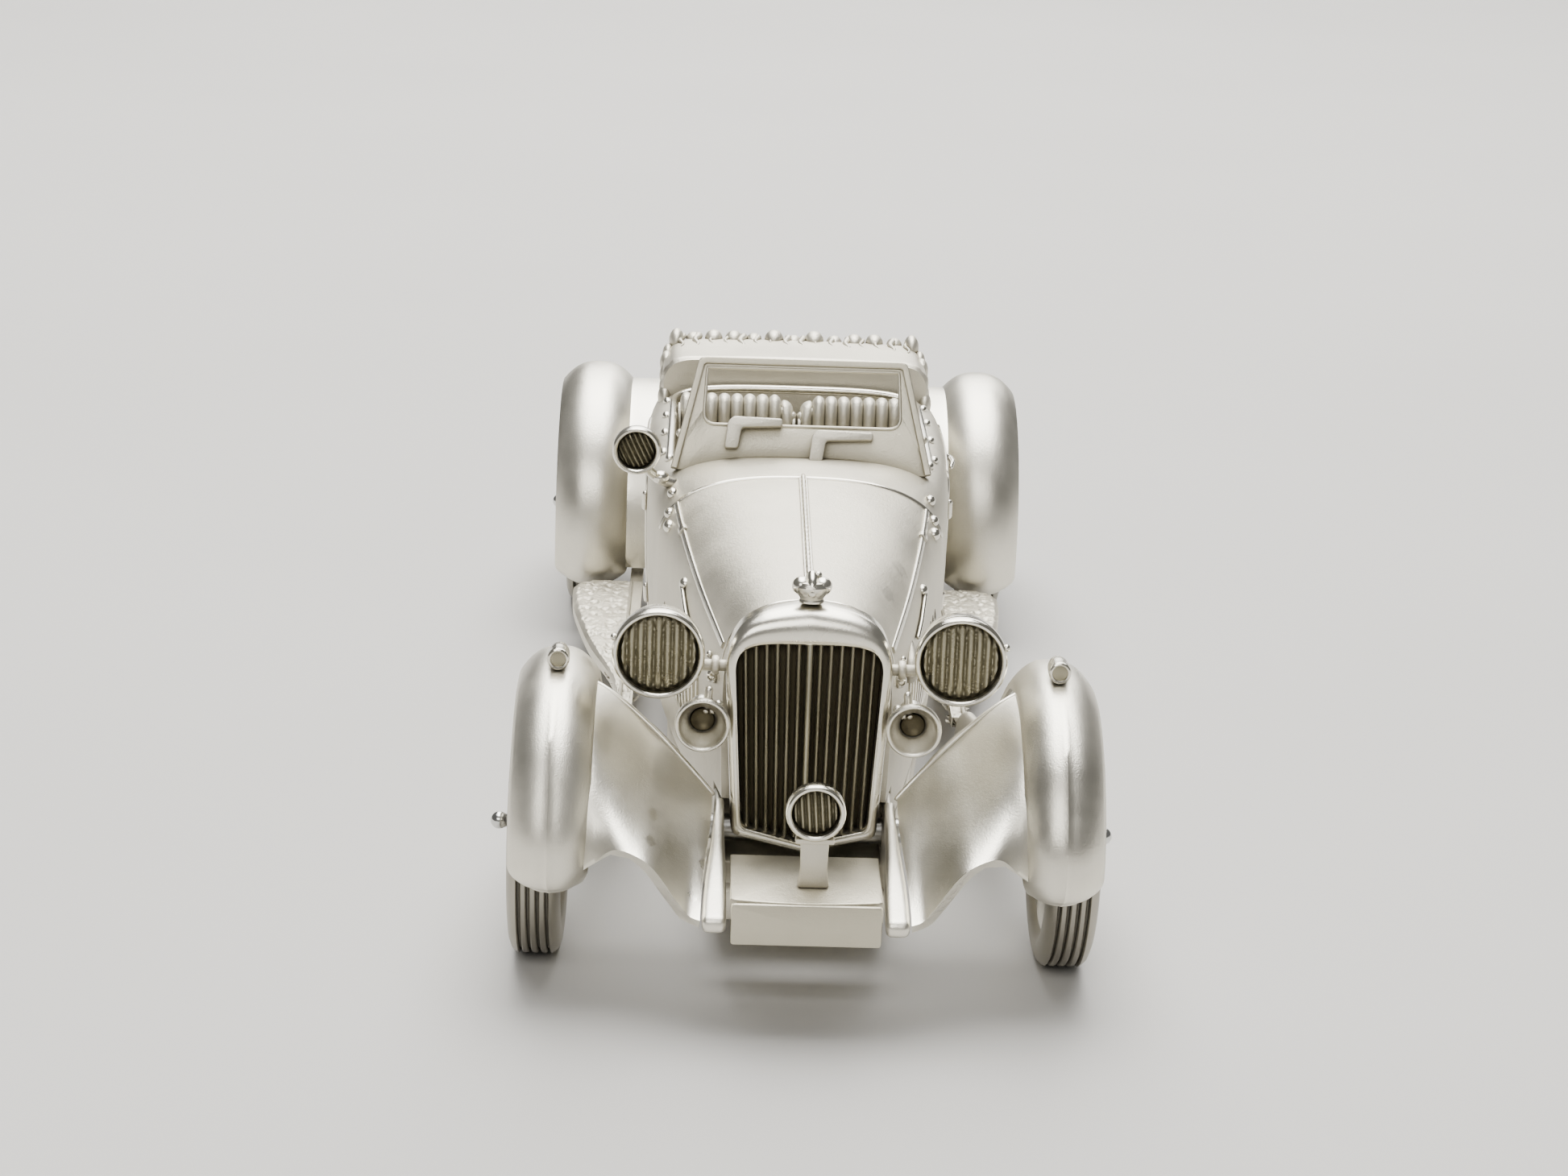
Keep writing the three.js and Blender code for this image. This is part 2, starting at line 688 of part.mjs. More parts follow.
// The grille opening, flat-topped with round corners; inset shrinks it on every side.
function openingOutline(inset) {
  const foot = shellFootHalf - shellRim - inset;
  const top = shellHeight - shellCrown - inset;
  const half = THREE.MathUtils.lerp(shellFootHalf, shellHalf, 0.95) - shellRim - inset;
  const corner = 1.5;
  const low = shellRim + inset;
  const shape = new THREE.Shape();
  shape.moveTo(0, low);
  shape.lineTo(foot - 0.5, 0.75 + low);
  shape.quadraticCurveTo(foot, 0.85 + low, foot + 0.03, 1.5 + low);
  shape.lineTo(half, top - corner);
  shape.quadraticCurveTo(half, top, half - corner, top);
  shape.lineTo(-half + corner, top);
  shape.quadraticCurveTo(-half, top, -half, top - corner);
  shape.lineTo(-foot - 0.03, 1.5 + low);
  shape.quadraticCurveTo(-foot, 0.85 + low, -foot + 0.5, 0.75 + low);
  shape.lineTo(0, low);
  return shape;
}

const shellCrown = 2.5; // depth of the header above the grille
const grilleRecess = 0.55;

function radiatorShell() {
  const whole = solid(upright(shellOutline(), shellDepth));
  const opening = solid(upright(openingOutline(0), shellDepth + 2));
  return whole.subtract(opening.translate(0, -1, 0));
}

function radiatorGrille() {
  const inset = gap / 2;
  const core = upright(openingOutline(inset), shellDepth - grilleRecess - 0.7);
  const back = solid(core.translate(0, grilleRecess + 0.7, 0));
  const halfWidth = shellFootHalf - shellRim - inset;
  const top = shellHeight - shellCrown - 0.6;
  const bars = [];
  for (let i = -grilleBars; i <= grilleBars; i++) {
    const half = i === 0 ? 0.22 : 0.13;
    const x = (i * halfWidth) / (grilleBars + 0.55);
    bars.push(box(x - half, x + half, grilleRecess, grilleRecess + 1, shellRim + 0.9, top));
  }
  return join(back, ...bars);
}

function radiatorCap() {
  const foot = [[0, 0], [0.75, 0], [0.75, 0.4], [0.4, 0.55], [0.4, 0.85], [0.95, 1.0], [0.95, 1.5], [0, 1.75]];
  const cap = new THREE.LatheGeometry(foot.map(([r, z]) => new THREE.Vector2(r, z)), 14);
  const fin = box(-0.14, 0.14, -0.9, 0.9, 1.2, 2.1);
  return join(cap.rotateX(Math.PI / 2), fin);
}

function buildRadiator() {
  piece("radiator_shell", bright, radiatorShell(), radiator);
  piece("radiator_grille", dark, radiatorGrille(), radiator);
  const cap = radiatorCap().translate(0, shellDepth * 0.45, shellHeight + gap / 2);
  piece("radiator_cap", bright, cap, radiator);
}

// ---------------------------------------------------------------- front end
function frontPan() {
  const half = railInner - gap;
  const front = -frontOverhang + plateThick + gap;
  const plan = new THREE.Shape();
  plan.moveTo(-half, -8);
  plan.lineTo(-half, front + 0.5);
  plan.quadraticCurveTo(0, front - 0.5, half, front + 0.5);
  plan.lineTo(half, -8);
  return solid(raised(plan, 0.6, 8).translate(0, 0, panTop - 0.6));
}

const panTop = 8.9;

function numberPlate(face, z) {
  const thick = plateThick - 0.15;
  const back = face < 0 ? [face, face + thick] : [face - thick, face];
  return box(-plateHalf, plateHalf, ...back, z - plateHeight, z);
}

// A round lamp facing forwards (-Y), its rim's front edge at depth 0.
function lampBody(radius, length) {
  const inner = radius - 0.32;
  return turned(
    [
      [0, length],
      [0.35 * radius, 0.985 * length],
      [0.72 * radius, 0.8 * length],
      [0.9 * radius, 0.45 * length],
      [0.93 * radius, 0.9],
      [radius, 0.8],
      [radius, 0.15],
      [radius - 0.14, 0],
      [inner, 0.12],
      [inner, 0.9],
      [0, 0.9],
    ].reverse(),
    16,
  );
}

// The lens that fills a lamp's rim, with upright ribs.
function lampLens(radius, ribs) {
  const inner = radius - 0.32 - 0.08;
  const disc = solid(turned([[0, 0.45], [inner, 0.45], [inner, 0.78], [0, 0.78]], 16));
  const bars = steps(ribs - 1).map((t) => {
    const x = THREE.MathUtils.lerp(-0.8, 0.8, t) * inner;
    const half = 0.9 * Math.sqrt(inner * inner - x * x);
    return box(x - 0.12, x + 0.12, 0.25, 0.6, -half, half);
  });
  return join(disc, ...bars);
}

function place(shape, at) {
  const made = shape.isBufferGeometry ? solid(shape) : shape;
  return made.translate(at.x, at.y, at.z);
}

function buildLamps() {
  pair("headlamp", bright, place(lampBody(headlampRadius, 4.6), headlampAt));
  pair("headlamp_lens", lens, place(lampLens(headlampRadius, 7), headlampAt));
  const z = headlampAt.z - 1.1;
  const y = headlampAt.y + 1.7;
  const shellSide = shellHalf + gap;
  const lampSide = headlampAt.x - 0.93 * headlampRadius - 0.1;
  pair("headlamp_bracket", satin, box(shellSide, lampSide, y - 0.45, y + 0.45, z - 0.35, z + 0.35));

  const bell = turned(
    [
      [0, 4.4],
      [0.5, 4.3],
      [0.75, 3.6],
      [0.6, 2.2],
      [0.85, 1.2],
      [1.25, 0.55],
      [hornRadius, 0.15],
      [hornRadius, 0],
      [hornRadius - 0.3, 0.02],
      [1.0, 0.65],
      [0.55, 0.8],
      [0.4, 0.5],
      [0, 0.4],
    ].reverse(),
    14,
  );
  pair("horn", bright, place(bell, hornAt));

  piece("fog_lamp", bright, place(lampBody(fogRadius, 1.9), fogAt));
  piece("fog_lamp_lens", lens, place(lampLens(fogRadius, 5), fogAt));
  const postTop = fogAt.z - fogRadius - gap / 2;
  const postY = fogAt.y + 0.5;
  const post = box(fogAt.x - 0.85, fogAt.x + 0.85, postY - 0.25, postY + 0.25, panTop + gap / 2, postTop);
  piece("fog_lamp_post", satin, post);

  const bullet = turned([[0, 0], [0.42, 0.14], [0.62, 0.5], [0.62, 1.3], [0.4, 2.2], [0, 2.6]], 12);
  const crestZ = tyreRadius + fenderRise;
  const sideLampAt = new THREE.Vector3((fenderInner + fenderOuter) / 2 - 0.1, -2.4, crestZ + 0.75);
  const stalk = box(-0.2, 0.2, 1.5, 2.1, -0.72, -0.3);
  pair("side_lamp", bright, place(join(bullet, stalk), sideLampAt));

  piece("spot_lamp", bright, place(lampBody(spotRadius, 2.3), spotAt));
  piece("spot_lamp_lens", lens, place(lampLens(spotRadius, 5), spotAt));
  const foot = new THREE.Vector3(-0.91 * bodyHalfAt(screenFootY), screenFootY - 1.2, deckTop - 1.3);
  const arm = bar(
    [
      [spotAt.x + 0.6, spotAt.y + 1.6, spotAt.z - spotRadius - 0.2],
      [(spotAt.x + foot.x) / 2 + 0.2, (spotAt.y + foot.y) / 2 + 0.4, foot.z + 0.5],
      [foot.x, foot.y, foot.z + 0.3],
    ],
    0.35,
    6,
    7,
  );
  piece("spot_lamp_bracket", bright, arm);
}

// ---------------------------------------------------------------- windscreen and cockpit
const screenFootZ = 23.2; // at the pillars
const screen = new THREE.Group();
screen.position.set(0, screenFootY, screenFootZ);
screen.rotation.x = -screenRake;
car.add(screen);

// Height of the scuttle under the windscreen, at x across the car.
function scuttleSurface(x) {
  const shoulder = shoulderAt(screenFootY);
  const power = squareness(screenFootY);
  const rise = (1 - Math.abs(x / bodyHalfAt(screenFootY)) ** power) ** (1 / power);
  return shoulder + (bodyTopAt(screenFootY) - shoulder) * rise;
}

// The frame is drawn flat, x across and y up the slope, then stood up in its raked group.
function screenFrame() {
  const h = screenHeight;
  const edge = (y) => THREE.MathUtils.lerp(screenFootHalf, screenTopHalf, y / h);
  const frame = new THREE.Shape();
  frame.moveTo(-edge(0), 0);
  steps(8).slice(1).forEach((t) => {
    const x = THREE.MathUtils.lerp(-edge(0), edge(0), t);
    const clear = scuttleSurface(x) + gap + 0.2 - screenFootZ;
    frame.lineTo(x, Math.max(0, clear / Math.cos(screenRake)));
  });
  frame.lineTo(edge(h - 0.4), h - 0.4);
  frame.quadraticCurveTo(edge(h), h, edge(h) - 0.4, h);
  frame.lineTo(-edge(h) + 0.4, h);
  frame.quadraticCurveTo(-edge(h), h, -edge(h - 0.4), h - 0.4);
  frame.lineTo(-edge(0), 0);
  const low = 3.3;
  const high = h - 0.75;
  const inset = (y) => edge(y) - THREE.MathUtils.lerp(1.5, 0.75, (y - low) / (high - low));
  const corner = 0.9;
  const hole = new THREE.Path();
  hole.moveTo(-inset(high), high);
  hole.lineTo(inset(high), high);
  hole.lineTo(inset(low + corner), low + corner);
  hole.quadraticCurveTo(inset(low), low, inset(low) - corner, low);
  hole.lineTo(-inset(low) + corner, low);
  hole.quadraticCurveTo(-inset(low), low, -inset(low + corner), low + corner);
  hole.lineTo(-inset(high), high);
  frame.holes.push(hole);
  return upright(frame, screenThick, 4);
}

function wiper() {
  const arm = outline([
    [-1.9, 0.3],
    [-1.5, 0.3],
    [-1.15, 1.35],
    [1.9, 1.75],
    [1.9, 2.1],
    [-1.45, 1.75],
  ]);
  return upright(arm, 0.4).translate(0, -0.4 - gap / 2, 0);
}

function seat() {
  const half = (cockpitHalf - 0.6) / 2;
  const backTop = deckTop + 0.9;
  const rear = cockpitRear - 4.1;
  const profile = new THREE.Shape();
  const front = cockpitFront + 4.2;
  profile.moveTo(front, cockpitFloor + gap);
  profile.lineTo(front, 14.2);
  profile.quadraticCurveTo(front + 0.2, 15.4, front + 1.4, 15.4);
  profile.lineTo(rear - 3.2, 14.8);
  profile.lineTo(rear - 2.3, backTop - 0.9);
  profile.quadraticCurveTo(rear - 2.1, backTop, rear - 1.2, backTop);
  profile.quadraticCurveTo(rear - 0.2, backTop, rear, backTop - 1.2);
  profile.lineTo(rear + 0.3, cockpitFloor + gap);
  const block = solid(sideways(profile, -half, half, 4));
  const pleats = 7;
  const grooves = steps(pleats - 2).map((t) => {
    const x = THREE.MathUtils.lerp(-1, 1, t) * half * ((pleats - 2) / pleats);
    return solid(box(x - 0.12, x + 0.12, rear - 4, rear - 0.5, 16.2, backTop + 1))
      .translate(0, -1.35, 0);
  });
  const pleated = grooves.reduce((whole, cut) => whole.subtract(cut), block);
  return pleated.translate(half + 0.2, 0, 0);
}

function dashboard() {
  const y = cockpitFront + gap;
  const panel = box(-cockpitHalf + gap, cockpitHalf - gap, y, y + 0.7, 17.5, scuttleTop - 1.6);
  const dials = [-5.6, -3.4, 3.4, 5.6].map((x) => {
    const dial = turned([[0, 0], [0.8, 0], [0.8, 0.35], [0.5, 0.35], [0.5, 0.2], [0, 0.2]], 10);
    return place(dial, new THREE.Vector3(x, y + 0.6, 20.8));
  });
  return join(panel, ...dials);
}

function steeringWheel() {
  const ringRadius = 2.6;
  const ring = new THREE.TorusGeometry(ringRadius, 0.28, 6, 16).rotateX(Math.PI / 2);
  const hub = new THREE.CylinderGeometry(0.5, 0.6, 0.6, 12);
  const spokes = steps(3).map((t) => box(0, ringRadius, -0.16, 0.16, -0.16, 0.16).rotateY(Math.PI / 4 + t * 1.5 * Math.PI));
  const column = new THREE.CylinderGeometry(0.3, 0.3, 3.2, 8).translate(0, -1.5, 0);
  const whole = join(ring, hub, column, ...spokes.map((spoke) => spoke.rotateX(Math.PI / 2).rotateX(-Math.PI / 2)));
  return whole.rotate([65, 0, 0]).translate(-0.49 * cockpitHalf, cockpitFront + 4.4, 20.2);
}

// ---------------------------------------------------------------- folded hood and rear end
function hoodBundle() {
  const front = cockpitRear + 0.75;
  const length = 9.8;
  const half = 0.925 * bodyHalf;
  const stations = [0, 0.05, 0.4, 0.8, 0.95, 1];
  const rings = stations.map((t) => {
    const y = front + t * length;
    const round = Math.sqrt(Math.max(0, 1 - Math.max(0, (t - 0.75) / 0.26) ** 2));
    const w = half * (0.93 + 0.07 * round) - (t < 0.03 ? 0.25 : 0);
    const floor = bodyTopAt(y) - 3;
    const top = deckTop + 2.2 - 0.5 * t - 0.9 * (1 - round) - (t < 0.03 ? 0.25 : 0);
    return [
      [w - 0.3, floor],
      [w, floor + 2.2],
      [w, top - 1.5],
      [w - 0.5, top - 0.5],
      [w - 1.5, top],
      [0.4 * w, top + 0.12],
    ]
      .flatMap((p, i, all) => (i === all.length - 1 ? [p, [-p[0], p[1]]] : [p]))
      .concat([[-w + 1.5, top], [-w + 0.5, top - 0.5], [-w, top - 1.5], [-w, floor + 2.2], [-w + 0.3, floor]])
      .map(([x, z]) => new THREE.Vector3(x, y, z));
  });
  const whole = loft(rings);
  const rear = steps(8).map((t) => THREE.MathUtils.lerp(cockpitRear - 4, front + length + 3, t));
  return whole.subtract(bodyLoft(rear).translate(0, 0, gap));
}

function doorHandle() {
  const y = cockpitRear - 3.4;
  const x = bodyHalfAt(y) + gap;
  const lever = bar([[x + 0.25, y - 2.0, 19.4], [x + 0.4, y - 1, 19.5], [x + 0.3, y, 19.5]], 0.26, 4, 7);
  return lever;
}

function bonnetCatch() {
  const y = 13;
  const x = bodyHalfAt(y) + gap + 0.1;
  return join(
    box(x - 0.08, x + 0.3, y - 0.22, y + 0.22, 14.6, 17.2),
    place(new THREE.SphereGeometry(0.42, 10, 8), new THREE.Vector3(x + 0.25, y, 17.3)),
  );
}

function sideBlister() {
  const y = 7;
  const x = bodyHalfAt(y) + gap - 0.1;
  const drop = new THREE.LatheGeometry(
    [[0, 0], [0.75, 0.5], [0.95, 1.1], [0.7, 2.0], [0.3, 3.2], [0, 3.7]].map(([r, z]) => new THREE.Vector2(r, z)),
    12,
  ).rotateX(Math.PI / 2);
  return solid(drop.translate(x + 0.7, y, 14.8)).subtract(solid(box(0, x, y - 3, y + 3, 12, 22)));
}

function tailLamp() {
  const angle = THREE.MathUtils.degToRad(20);
  const y = wheelbase + rearFenderRise * Math.cos(angle) + gap;
  const z = tyreRadius + rearFenderRise * Math.sin(angle);
  const lamp = turned([[0, 0], [0.6, 0.1], [0.85, 0.7], [0.85, 1.6], [0.7, 1.75], [0, 1.9]], 12);
  return place(lamp, new THREE.Vector3((rearFenderInner + rearFenderOuter) / 2, y, z));
}

function exhaust() {
  const x = pipeX;
  const z = chassisBottom + pipeRise;
  const end = wheelbase + rearOverhang - 1.4;
  return bar([[x, pipeFrontY, z], [x, wheelbase - 8, z], [x, end - 6, z], [x, end, z]], pipeRadius, 10, 8);
}

// ---------------------------------------------------------------- assembly
piece("chassis_base", satin, chassis());
wheelSet("front", 0);
wheelSet("rear", wheelbase);
screwPlaces.forEach((y, i) => piece(["base_screw_front", "base_screw_rear"][i], steel, baseScrew(y)));
piece("bonnet", satin, bonnet());
piece("body_tub", satin, bodyTub());
pair("fender_front", satin, frontFender());
pair("fender_rear", satin, rearFender());
pair("running_board", satin, runningBoard());
buildRadiator();
piece("front_pan", satin, frontPan());
piece("number_plate_front", bright, numberPlate(-frontOverhang, panTop));
piece("number_plate_rear", bright, numberPlate(wheelbase + rearOverhang, 11.5));
buildLamps();
piece("windscreen_frame", bright, screenFrame(), screen);
piece("wiper_left", satin, wiper().translate(2.8, 0, 0.9), screen);
piece("wiper_right", satin, wiper().translate(-2.4, 0, 0.9), screen);
pair("seat", satin, seat());
piece("dashboard", satin, dashboard());
piece("steering_wheel", dark, steeringWheel());
piece("hood_bundle", satin, hoodBundle());
pair("door_handle", bright, doorHandle());
pair("bonnet_catch", bright, bonnetCatch());
piece("side_blister", satin, sideBlister());
pair("tail_lamp", bright, tailLamp());
piece("exhaust_pipe", steel, exhaust());

export default car;
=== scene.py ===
import json
from math import cos, hypot, pi, radians, sin, sqrt, tan

import bmesh
import bpy
from mathutils import Matrix, Vector, noise

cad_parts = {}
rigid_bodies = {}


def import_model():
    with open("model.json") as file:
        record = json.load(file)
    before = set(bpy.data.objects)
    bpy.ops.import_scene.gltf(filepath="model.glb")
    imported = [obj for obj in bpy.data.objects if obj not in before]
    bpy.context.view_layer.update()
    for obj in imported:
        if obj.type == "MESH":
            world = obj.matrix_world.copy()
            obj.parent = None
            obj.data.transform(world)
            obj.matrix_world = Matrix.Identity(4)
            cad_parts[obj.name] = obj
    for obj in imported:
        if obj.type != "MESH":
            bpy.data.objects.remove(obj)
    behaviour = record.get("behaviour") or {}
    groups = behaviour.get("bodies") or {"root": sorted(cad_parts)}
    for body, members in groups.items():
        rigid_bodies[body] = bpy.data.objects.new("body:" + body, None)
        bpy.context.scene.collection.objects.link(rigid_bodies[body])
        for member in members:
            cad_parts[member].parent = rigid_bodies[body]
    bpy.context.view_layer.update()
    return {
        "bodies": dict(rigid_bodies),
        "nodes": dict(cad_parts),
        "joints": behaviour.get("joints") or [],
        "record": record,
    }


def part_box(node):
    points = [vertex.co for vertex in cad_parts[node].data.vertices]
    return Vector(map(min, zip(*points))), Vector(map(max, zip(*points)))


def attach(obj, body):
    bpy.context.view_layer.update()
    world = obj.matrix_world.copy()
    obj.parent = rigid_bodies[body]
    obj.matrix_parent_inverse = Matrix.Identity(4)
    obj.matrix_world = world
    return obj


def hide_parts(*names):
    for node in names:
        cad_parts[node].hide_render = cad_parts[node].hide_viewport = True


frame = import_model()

# Looks of a cast white-metal collector's car. Sizes are in millimetres in the car's own frame:
# Y runs back from the front axle, Z up from the ground, +X is the car's left.
MM = 0.001
FRONT_AXLE_Y = sum(corner.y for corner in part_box("front_axle")) / 2


def span(node):
    """Lowest and highest corner of a CAD node, in the car's own frame."""
    shift = Vector((0, FRONT_AXLE_Y, 0))
    return [(corner - shift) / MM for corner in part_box(node)]


def placed(point):
    """A point of the car's own frame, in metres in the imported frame."""
    return Vector((point[0] * MM, point[1] * MM + FRONT_AXLE_Y, point[2] * MM))


def in_scene(name, data):
    """A new object in the scene that holds the data."""
    made = bpy.data.objects.new(name, data)
    bpy.context.scene.collection.objects.link(made)
    return made


# ---- camera
CAMERA_AT = (-6.6, -185.3, 83.1)
CAMERA_YAW, CAMERA_PITCH, CAMERA_ROLL = radians(1.52), radians(17.68), radians(2.12)
CAMERA_LENS = 72.8  # for a sensor 36 mm wide


def make_camera():
    level = Vector((cos(CAMERA_YAW), -sin(CAMERA_YAW), 0))
    forward = Vector((sin(CAMERA_YAW), cos(CAMERA_YAW), 0))
    ahead = forward * cos(CAMERA_PITCH) - Vector((0, 0, sin(CAMERA_PITCH)))
    upright = level.cross(ahead)
    right = cos(CAMERA_ROLL) * level + sin(CAMERA_ROLL) * upright
    up = cos(CAMERA_ROLL) * upright - sin(CAMERA_ROLL) * level
    data = bpy.data.cameras.new("camera")
    data.lens = CAMERA_LENS
    data.sensor_width = 36
    data.clip_start = 0.005
    camera = in_scene("camera", data)
    turn = Matrix((right, up, -ahead)).transposed()
    camera.matrix_world = Matrix.Translation(placed(CAMERA_AT)) @ turn.to_4x4()
    bpy.context.scene.camera = camera


make_camera()

# ---- driving sizes
GAP = 0.3
WHEELBASE = sum(corner.y for corner in span("rear_axle")) / 2
TYRE_RADIUS = span("tyre_front_left")[1].z / 2
TYRE_WIDTH = span("tyre_front_left")[1].x - span("tyre_front_left")[0].x
TYRE_INNER = 6.1
TRACK_HALF = span("tyre_front_left")[1].x - TYRE_WIDTH / 2

BODY_HALF = span("body_tub")[1].x
BODY_BOTTOM = span("body_tub")[0].z
TAIL_END = span("body_tub")[1].y
DECK_TOP = 23.5
SCUTTLE_TOP = 24.1
NOSE_TOP = 22.9
NOSE_HALF = 5.4
BONNET_END = 25
COCKPIT_FRONT = 33.4
COCKPIT_REAR = WHEELBASE - 20.2
COCKPIT_HALF = BODY_HALF - 2
COCKPIT_FLOOR = 10.5
RAIL_OUTER = 5.9
RAIL_INNER = 4.65

SHELL_HALF = 5.1
SHELL_FOOT_HALF = 4.5
SHELL_HEIGHT = 15.7
SHELL_DEPTH = 2.3
SHELL_FOOT = (0, -3.4, 7.9)
SHELL_LEAN = radians(4)
SHELL_RIM = 0.62
SHELL_CROWN = 2.5
SHELL_BACK = SHELL_FOOT[1] + SHELL_DEPTH / cos(SHELL_LEAN) + sin(SHELL_LEAN) * SHELL_HEIGHT
GRILLE_BARS = 6

FENDER_OUTER = span("fender_front_left")[1].x
FENDER_INNER = FENDER_OUTER - 4.9
FENDER_RISE = TYRE_RADIUS + 2.7
FENDER_REACH = TYRE_RADIUS + 3.4
REAR_FENDER_OUTER = span("fender_rear_left")[1].x
REAR_FENDER_INNER = REAR_FENDER_OUTER - 5.9
REAR_FENDER_RISE = TYRE_RADIUS + 3.7
SHEET = 0.6

SCREEN_FOOT = (0, 29.5, 23.2)
SCREEN_HEIGHT = 8.1
SCREEN_RAKE = radians(25.6)
SCREEN_THICK = 0.9
SCREEN_FOOT_HALF = BODY_HALF - 2
SCREEN_TOP_HALF = SCREEN_FOOT_HALF - 1.85
OPENING_LOW = 3.3
OPENING_HIGH = SCREEN_HEIGHT - 0.75

HEADLAMP_RADIUS = 2.85
HORN_RADIUS = 1.72
FOG_RADIUS = 1.78
SPOT_RADIUS = 1.68
PAN_TOP = 8.9
FRAME_TIP = span("chassis_base")[0].y - 0.05
FLOOR_TOP = span("chassis_base")[0].z + 2.3
HORN_TOP_OUTER = 5.6
HORN_FOOT_OUTER = 6.15


# ---- curves and outlines
def spaced(start, end, count):
    return [start + (end - start) * i / count for i in range(count + 1)]


def mix(a, b, t):
    return a + (b - a) * t


def smooth(value, low, high):
    t = min(max((value - low) / (high - low), 0), 1)
    return t * t * (3 - 2 * t)


def round_off(share):
    """How far a quarter circle falls short of its top, at a share of its radius from the middle."""
    return 1 - sqrt(max(0, 1 - max(0, share) ** 2))


def flipped(points):
    """The points on the car's other side, in reverse order."""
    return [Vector((-p[0], *p[1:])) for p in reversed(points)]


def rectangle(left, low, right, high):
    return [(left, low), (right, low), (right, high), (left, high)]


def spline(points, t):
    """The point at t, from 0 to 1, of a smooth curve through the points."""
    place = (len(points) - 1) * t
    i = min(int(place), len(points) - 2)
    w = place - i
    a, b, c, d = points[max(i - 1, 0)], points[i], points[i + 1], points[min(i + 2, len(points) - 1)]
    leave, arrive = (c - a) / 2, (d - b) / 2
    cubic = (2 * b - 2 * c + leave + arrive) * w**3
    return cubic + (3 * c - 3 * b - 2 * leave - arrive) * w**2 + leave * w + b


def evenly(line, count):
    """count + 1 points at even distances along a line of points."""
    lengths = [0]
    for a, b in zip(line, line[1:]):
        lengths.append(lengths[-1] + (b - a).length)
    made = []
    i = 0
    for want in spaced(0, lengths[-1], count):
        while i < len(line) - 2 and lengths[i + 1] < want:
            i += 1
        w = (want - lengths[i]) / max(lengths[i + 1] - lengths[i], 1e-9)
        made.append(mix(line[i], line[i + 1], w))
    return made


def even_curve(points, count):
    """count + 1 points at even distances along the smooth curve through the points."""
    return evenly([spline([Vector(p) for p in points], t) for t in spaced(0, 1, 40 * len(points))], count)


def even_outline(points, count):
    """count points at even distances round a closed outline."""
    return evenly(points + points[:1], count)[:-1]


def finer(line, step):
    """A line of points with more between them, no further apart than about a step."""
    made = []
    for a, b in zip(line, line[1:]):
        pieces = max(1, round((b - a).length / step))
        made += [mix(a, b, i / pieces) for i in range(pieces)]
    return made + line[-1:]


def through(pairs):
    """A smooth function of one number through (position, value) pairs."""
    table = [spline([Vector(pair) for pair in pairs], t) for t in spaced(0, 1, 60 * len(pairs))]

    def value(at):
        at = min(max(at, pairs[0][0]), pairs[-1][0])
        low, high = 0, len(table) - 1
        while high - low > 1:
            middle = (low + high) // 2
            low, high = (middle, high) if table[middle].x <= at else (low, middle)
        w = (at - table[low].x) / max(table[high].x - table[low].x, 1e-9)
        return mix(table[low].y, table[high].y, w)

    return value


def bezier(points, count):
    """count points of the Bezier curve, without its last point."""
    made = []
    for t in spaced(0, 1, count)[:-1]:
        row = [Vector(p) for p in points]
        while len(row) > 1:
            row = [mix(a, b, t) for a, b in zip(row, row[1:])]
        made.append(row[0])
    return made


def rounded(points, radius, closed=True, steps=4):
    """A 2-D outline with its corners turned into arcs."""
    points = [Vector(p) for p in points]
    made = []
    for i, corner in enumerate(points):
        before, after = points[i - 1] - corner, points[(i + 1) % len(points)] - corner
        end = not closed and i in (0, len(points) - 1)
        if end or before.angle(after) > radians(172):
            made.append(corner)
            continue
        reach = min(radius, 0.45 * before.length, 0.45 * after.length)
        start, stop = corner + before.normalized() * reach, corner + after.normalized() * reach
        made += [start * (1 - t) ** 2 + corner * 2 * t * (1 - t) + stop * t**2 for t in spaced(0, 1, steps)]
    return made


def inset(outline, distance):
    """A closed 2-D outline moved inwards by a small distance."""
    area = sum(a.cross(b) for a, b in zip(outline, outline[1:] + outline[:1]))
    side = 1 if area > 0 else -1
    made = []
    for i, point in enumerate(outline):
        along = outline[(i + 1) % len(outline)] - outline[i - 1]
        made.append(point + Vector((-along.y, along.x)).normalized() * distance * side)
    return made


# ---- shapes
class Shape:
    """Points in millimetres and the faces between them."""

    def __init__(self, points=(), faces=()):
        self.points = [Vector(p) for p in points]
        self.faces = [tuple(face) for face in faces]

    def __add__(self, other):
        start = len(self.points)
        faces = [tuple(i + start for i in face) for face in other.faces]
        return Shape(self.points + other.points, self.faces + faces)

    def turned(self, matrix):
        return Shape([matrix @ p for p in self.points], self.faces)

    def moved(self, x=0, y=0, z=0):
        return Shape([p + Vector((x, y, z)) for p in self.points], self.faces)

    def mirrored(self):
        return Shape([(-p.x, p.y, p.z) for p in self.points], [face[::-1] for face in self.faces])

    def on_both_sides(self):
        return self + self.mirrored()


UPRIGHT = Matrix.Rotation(pi / 2, 3, "X")  # stands a lathe's Y axis up along Z
SIDEWAYS = Matrix.Rotation(-pi / 2, 3, "Z")  # turns a lathe's Y axis out along X


def all_of(shapes):
    return sum(shapes, Shape())


def loft(rings, loop=False):
    """A closed skin over rings of equal length; loop joins the last ring to the first."""
    size = len(rings[0])
    faces = []
    for r in range(len(rings) - (0 if loop else 1)):
        a, b = r * size, (r + 1) % len(rings) * size
        faces += [(a + i, a + (i + 1) % size, b + (i + 1) % size, b + i) for i in range(size)]
    if not loop:
        last = (len(rings) - 1) * size
        faces += [range(size), range(last, last + size)]
    return Shape([p for ring in rings for p in ring], faces)


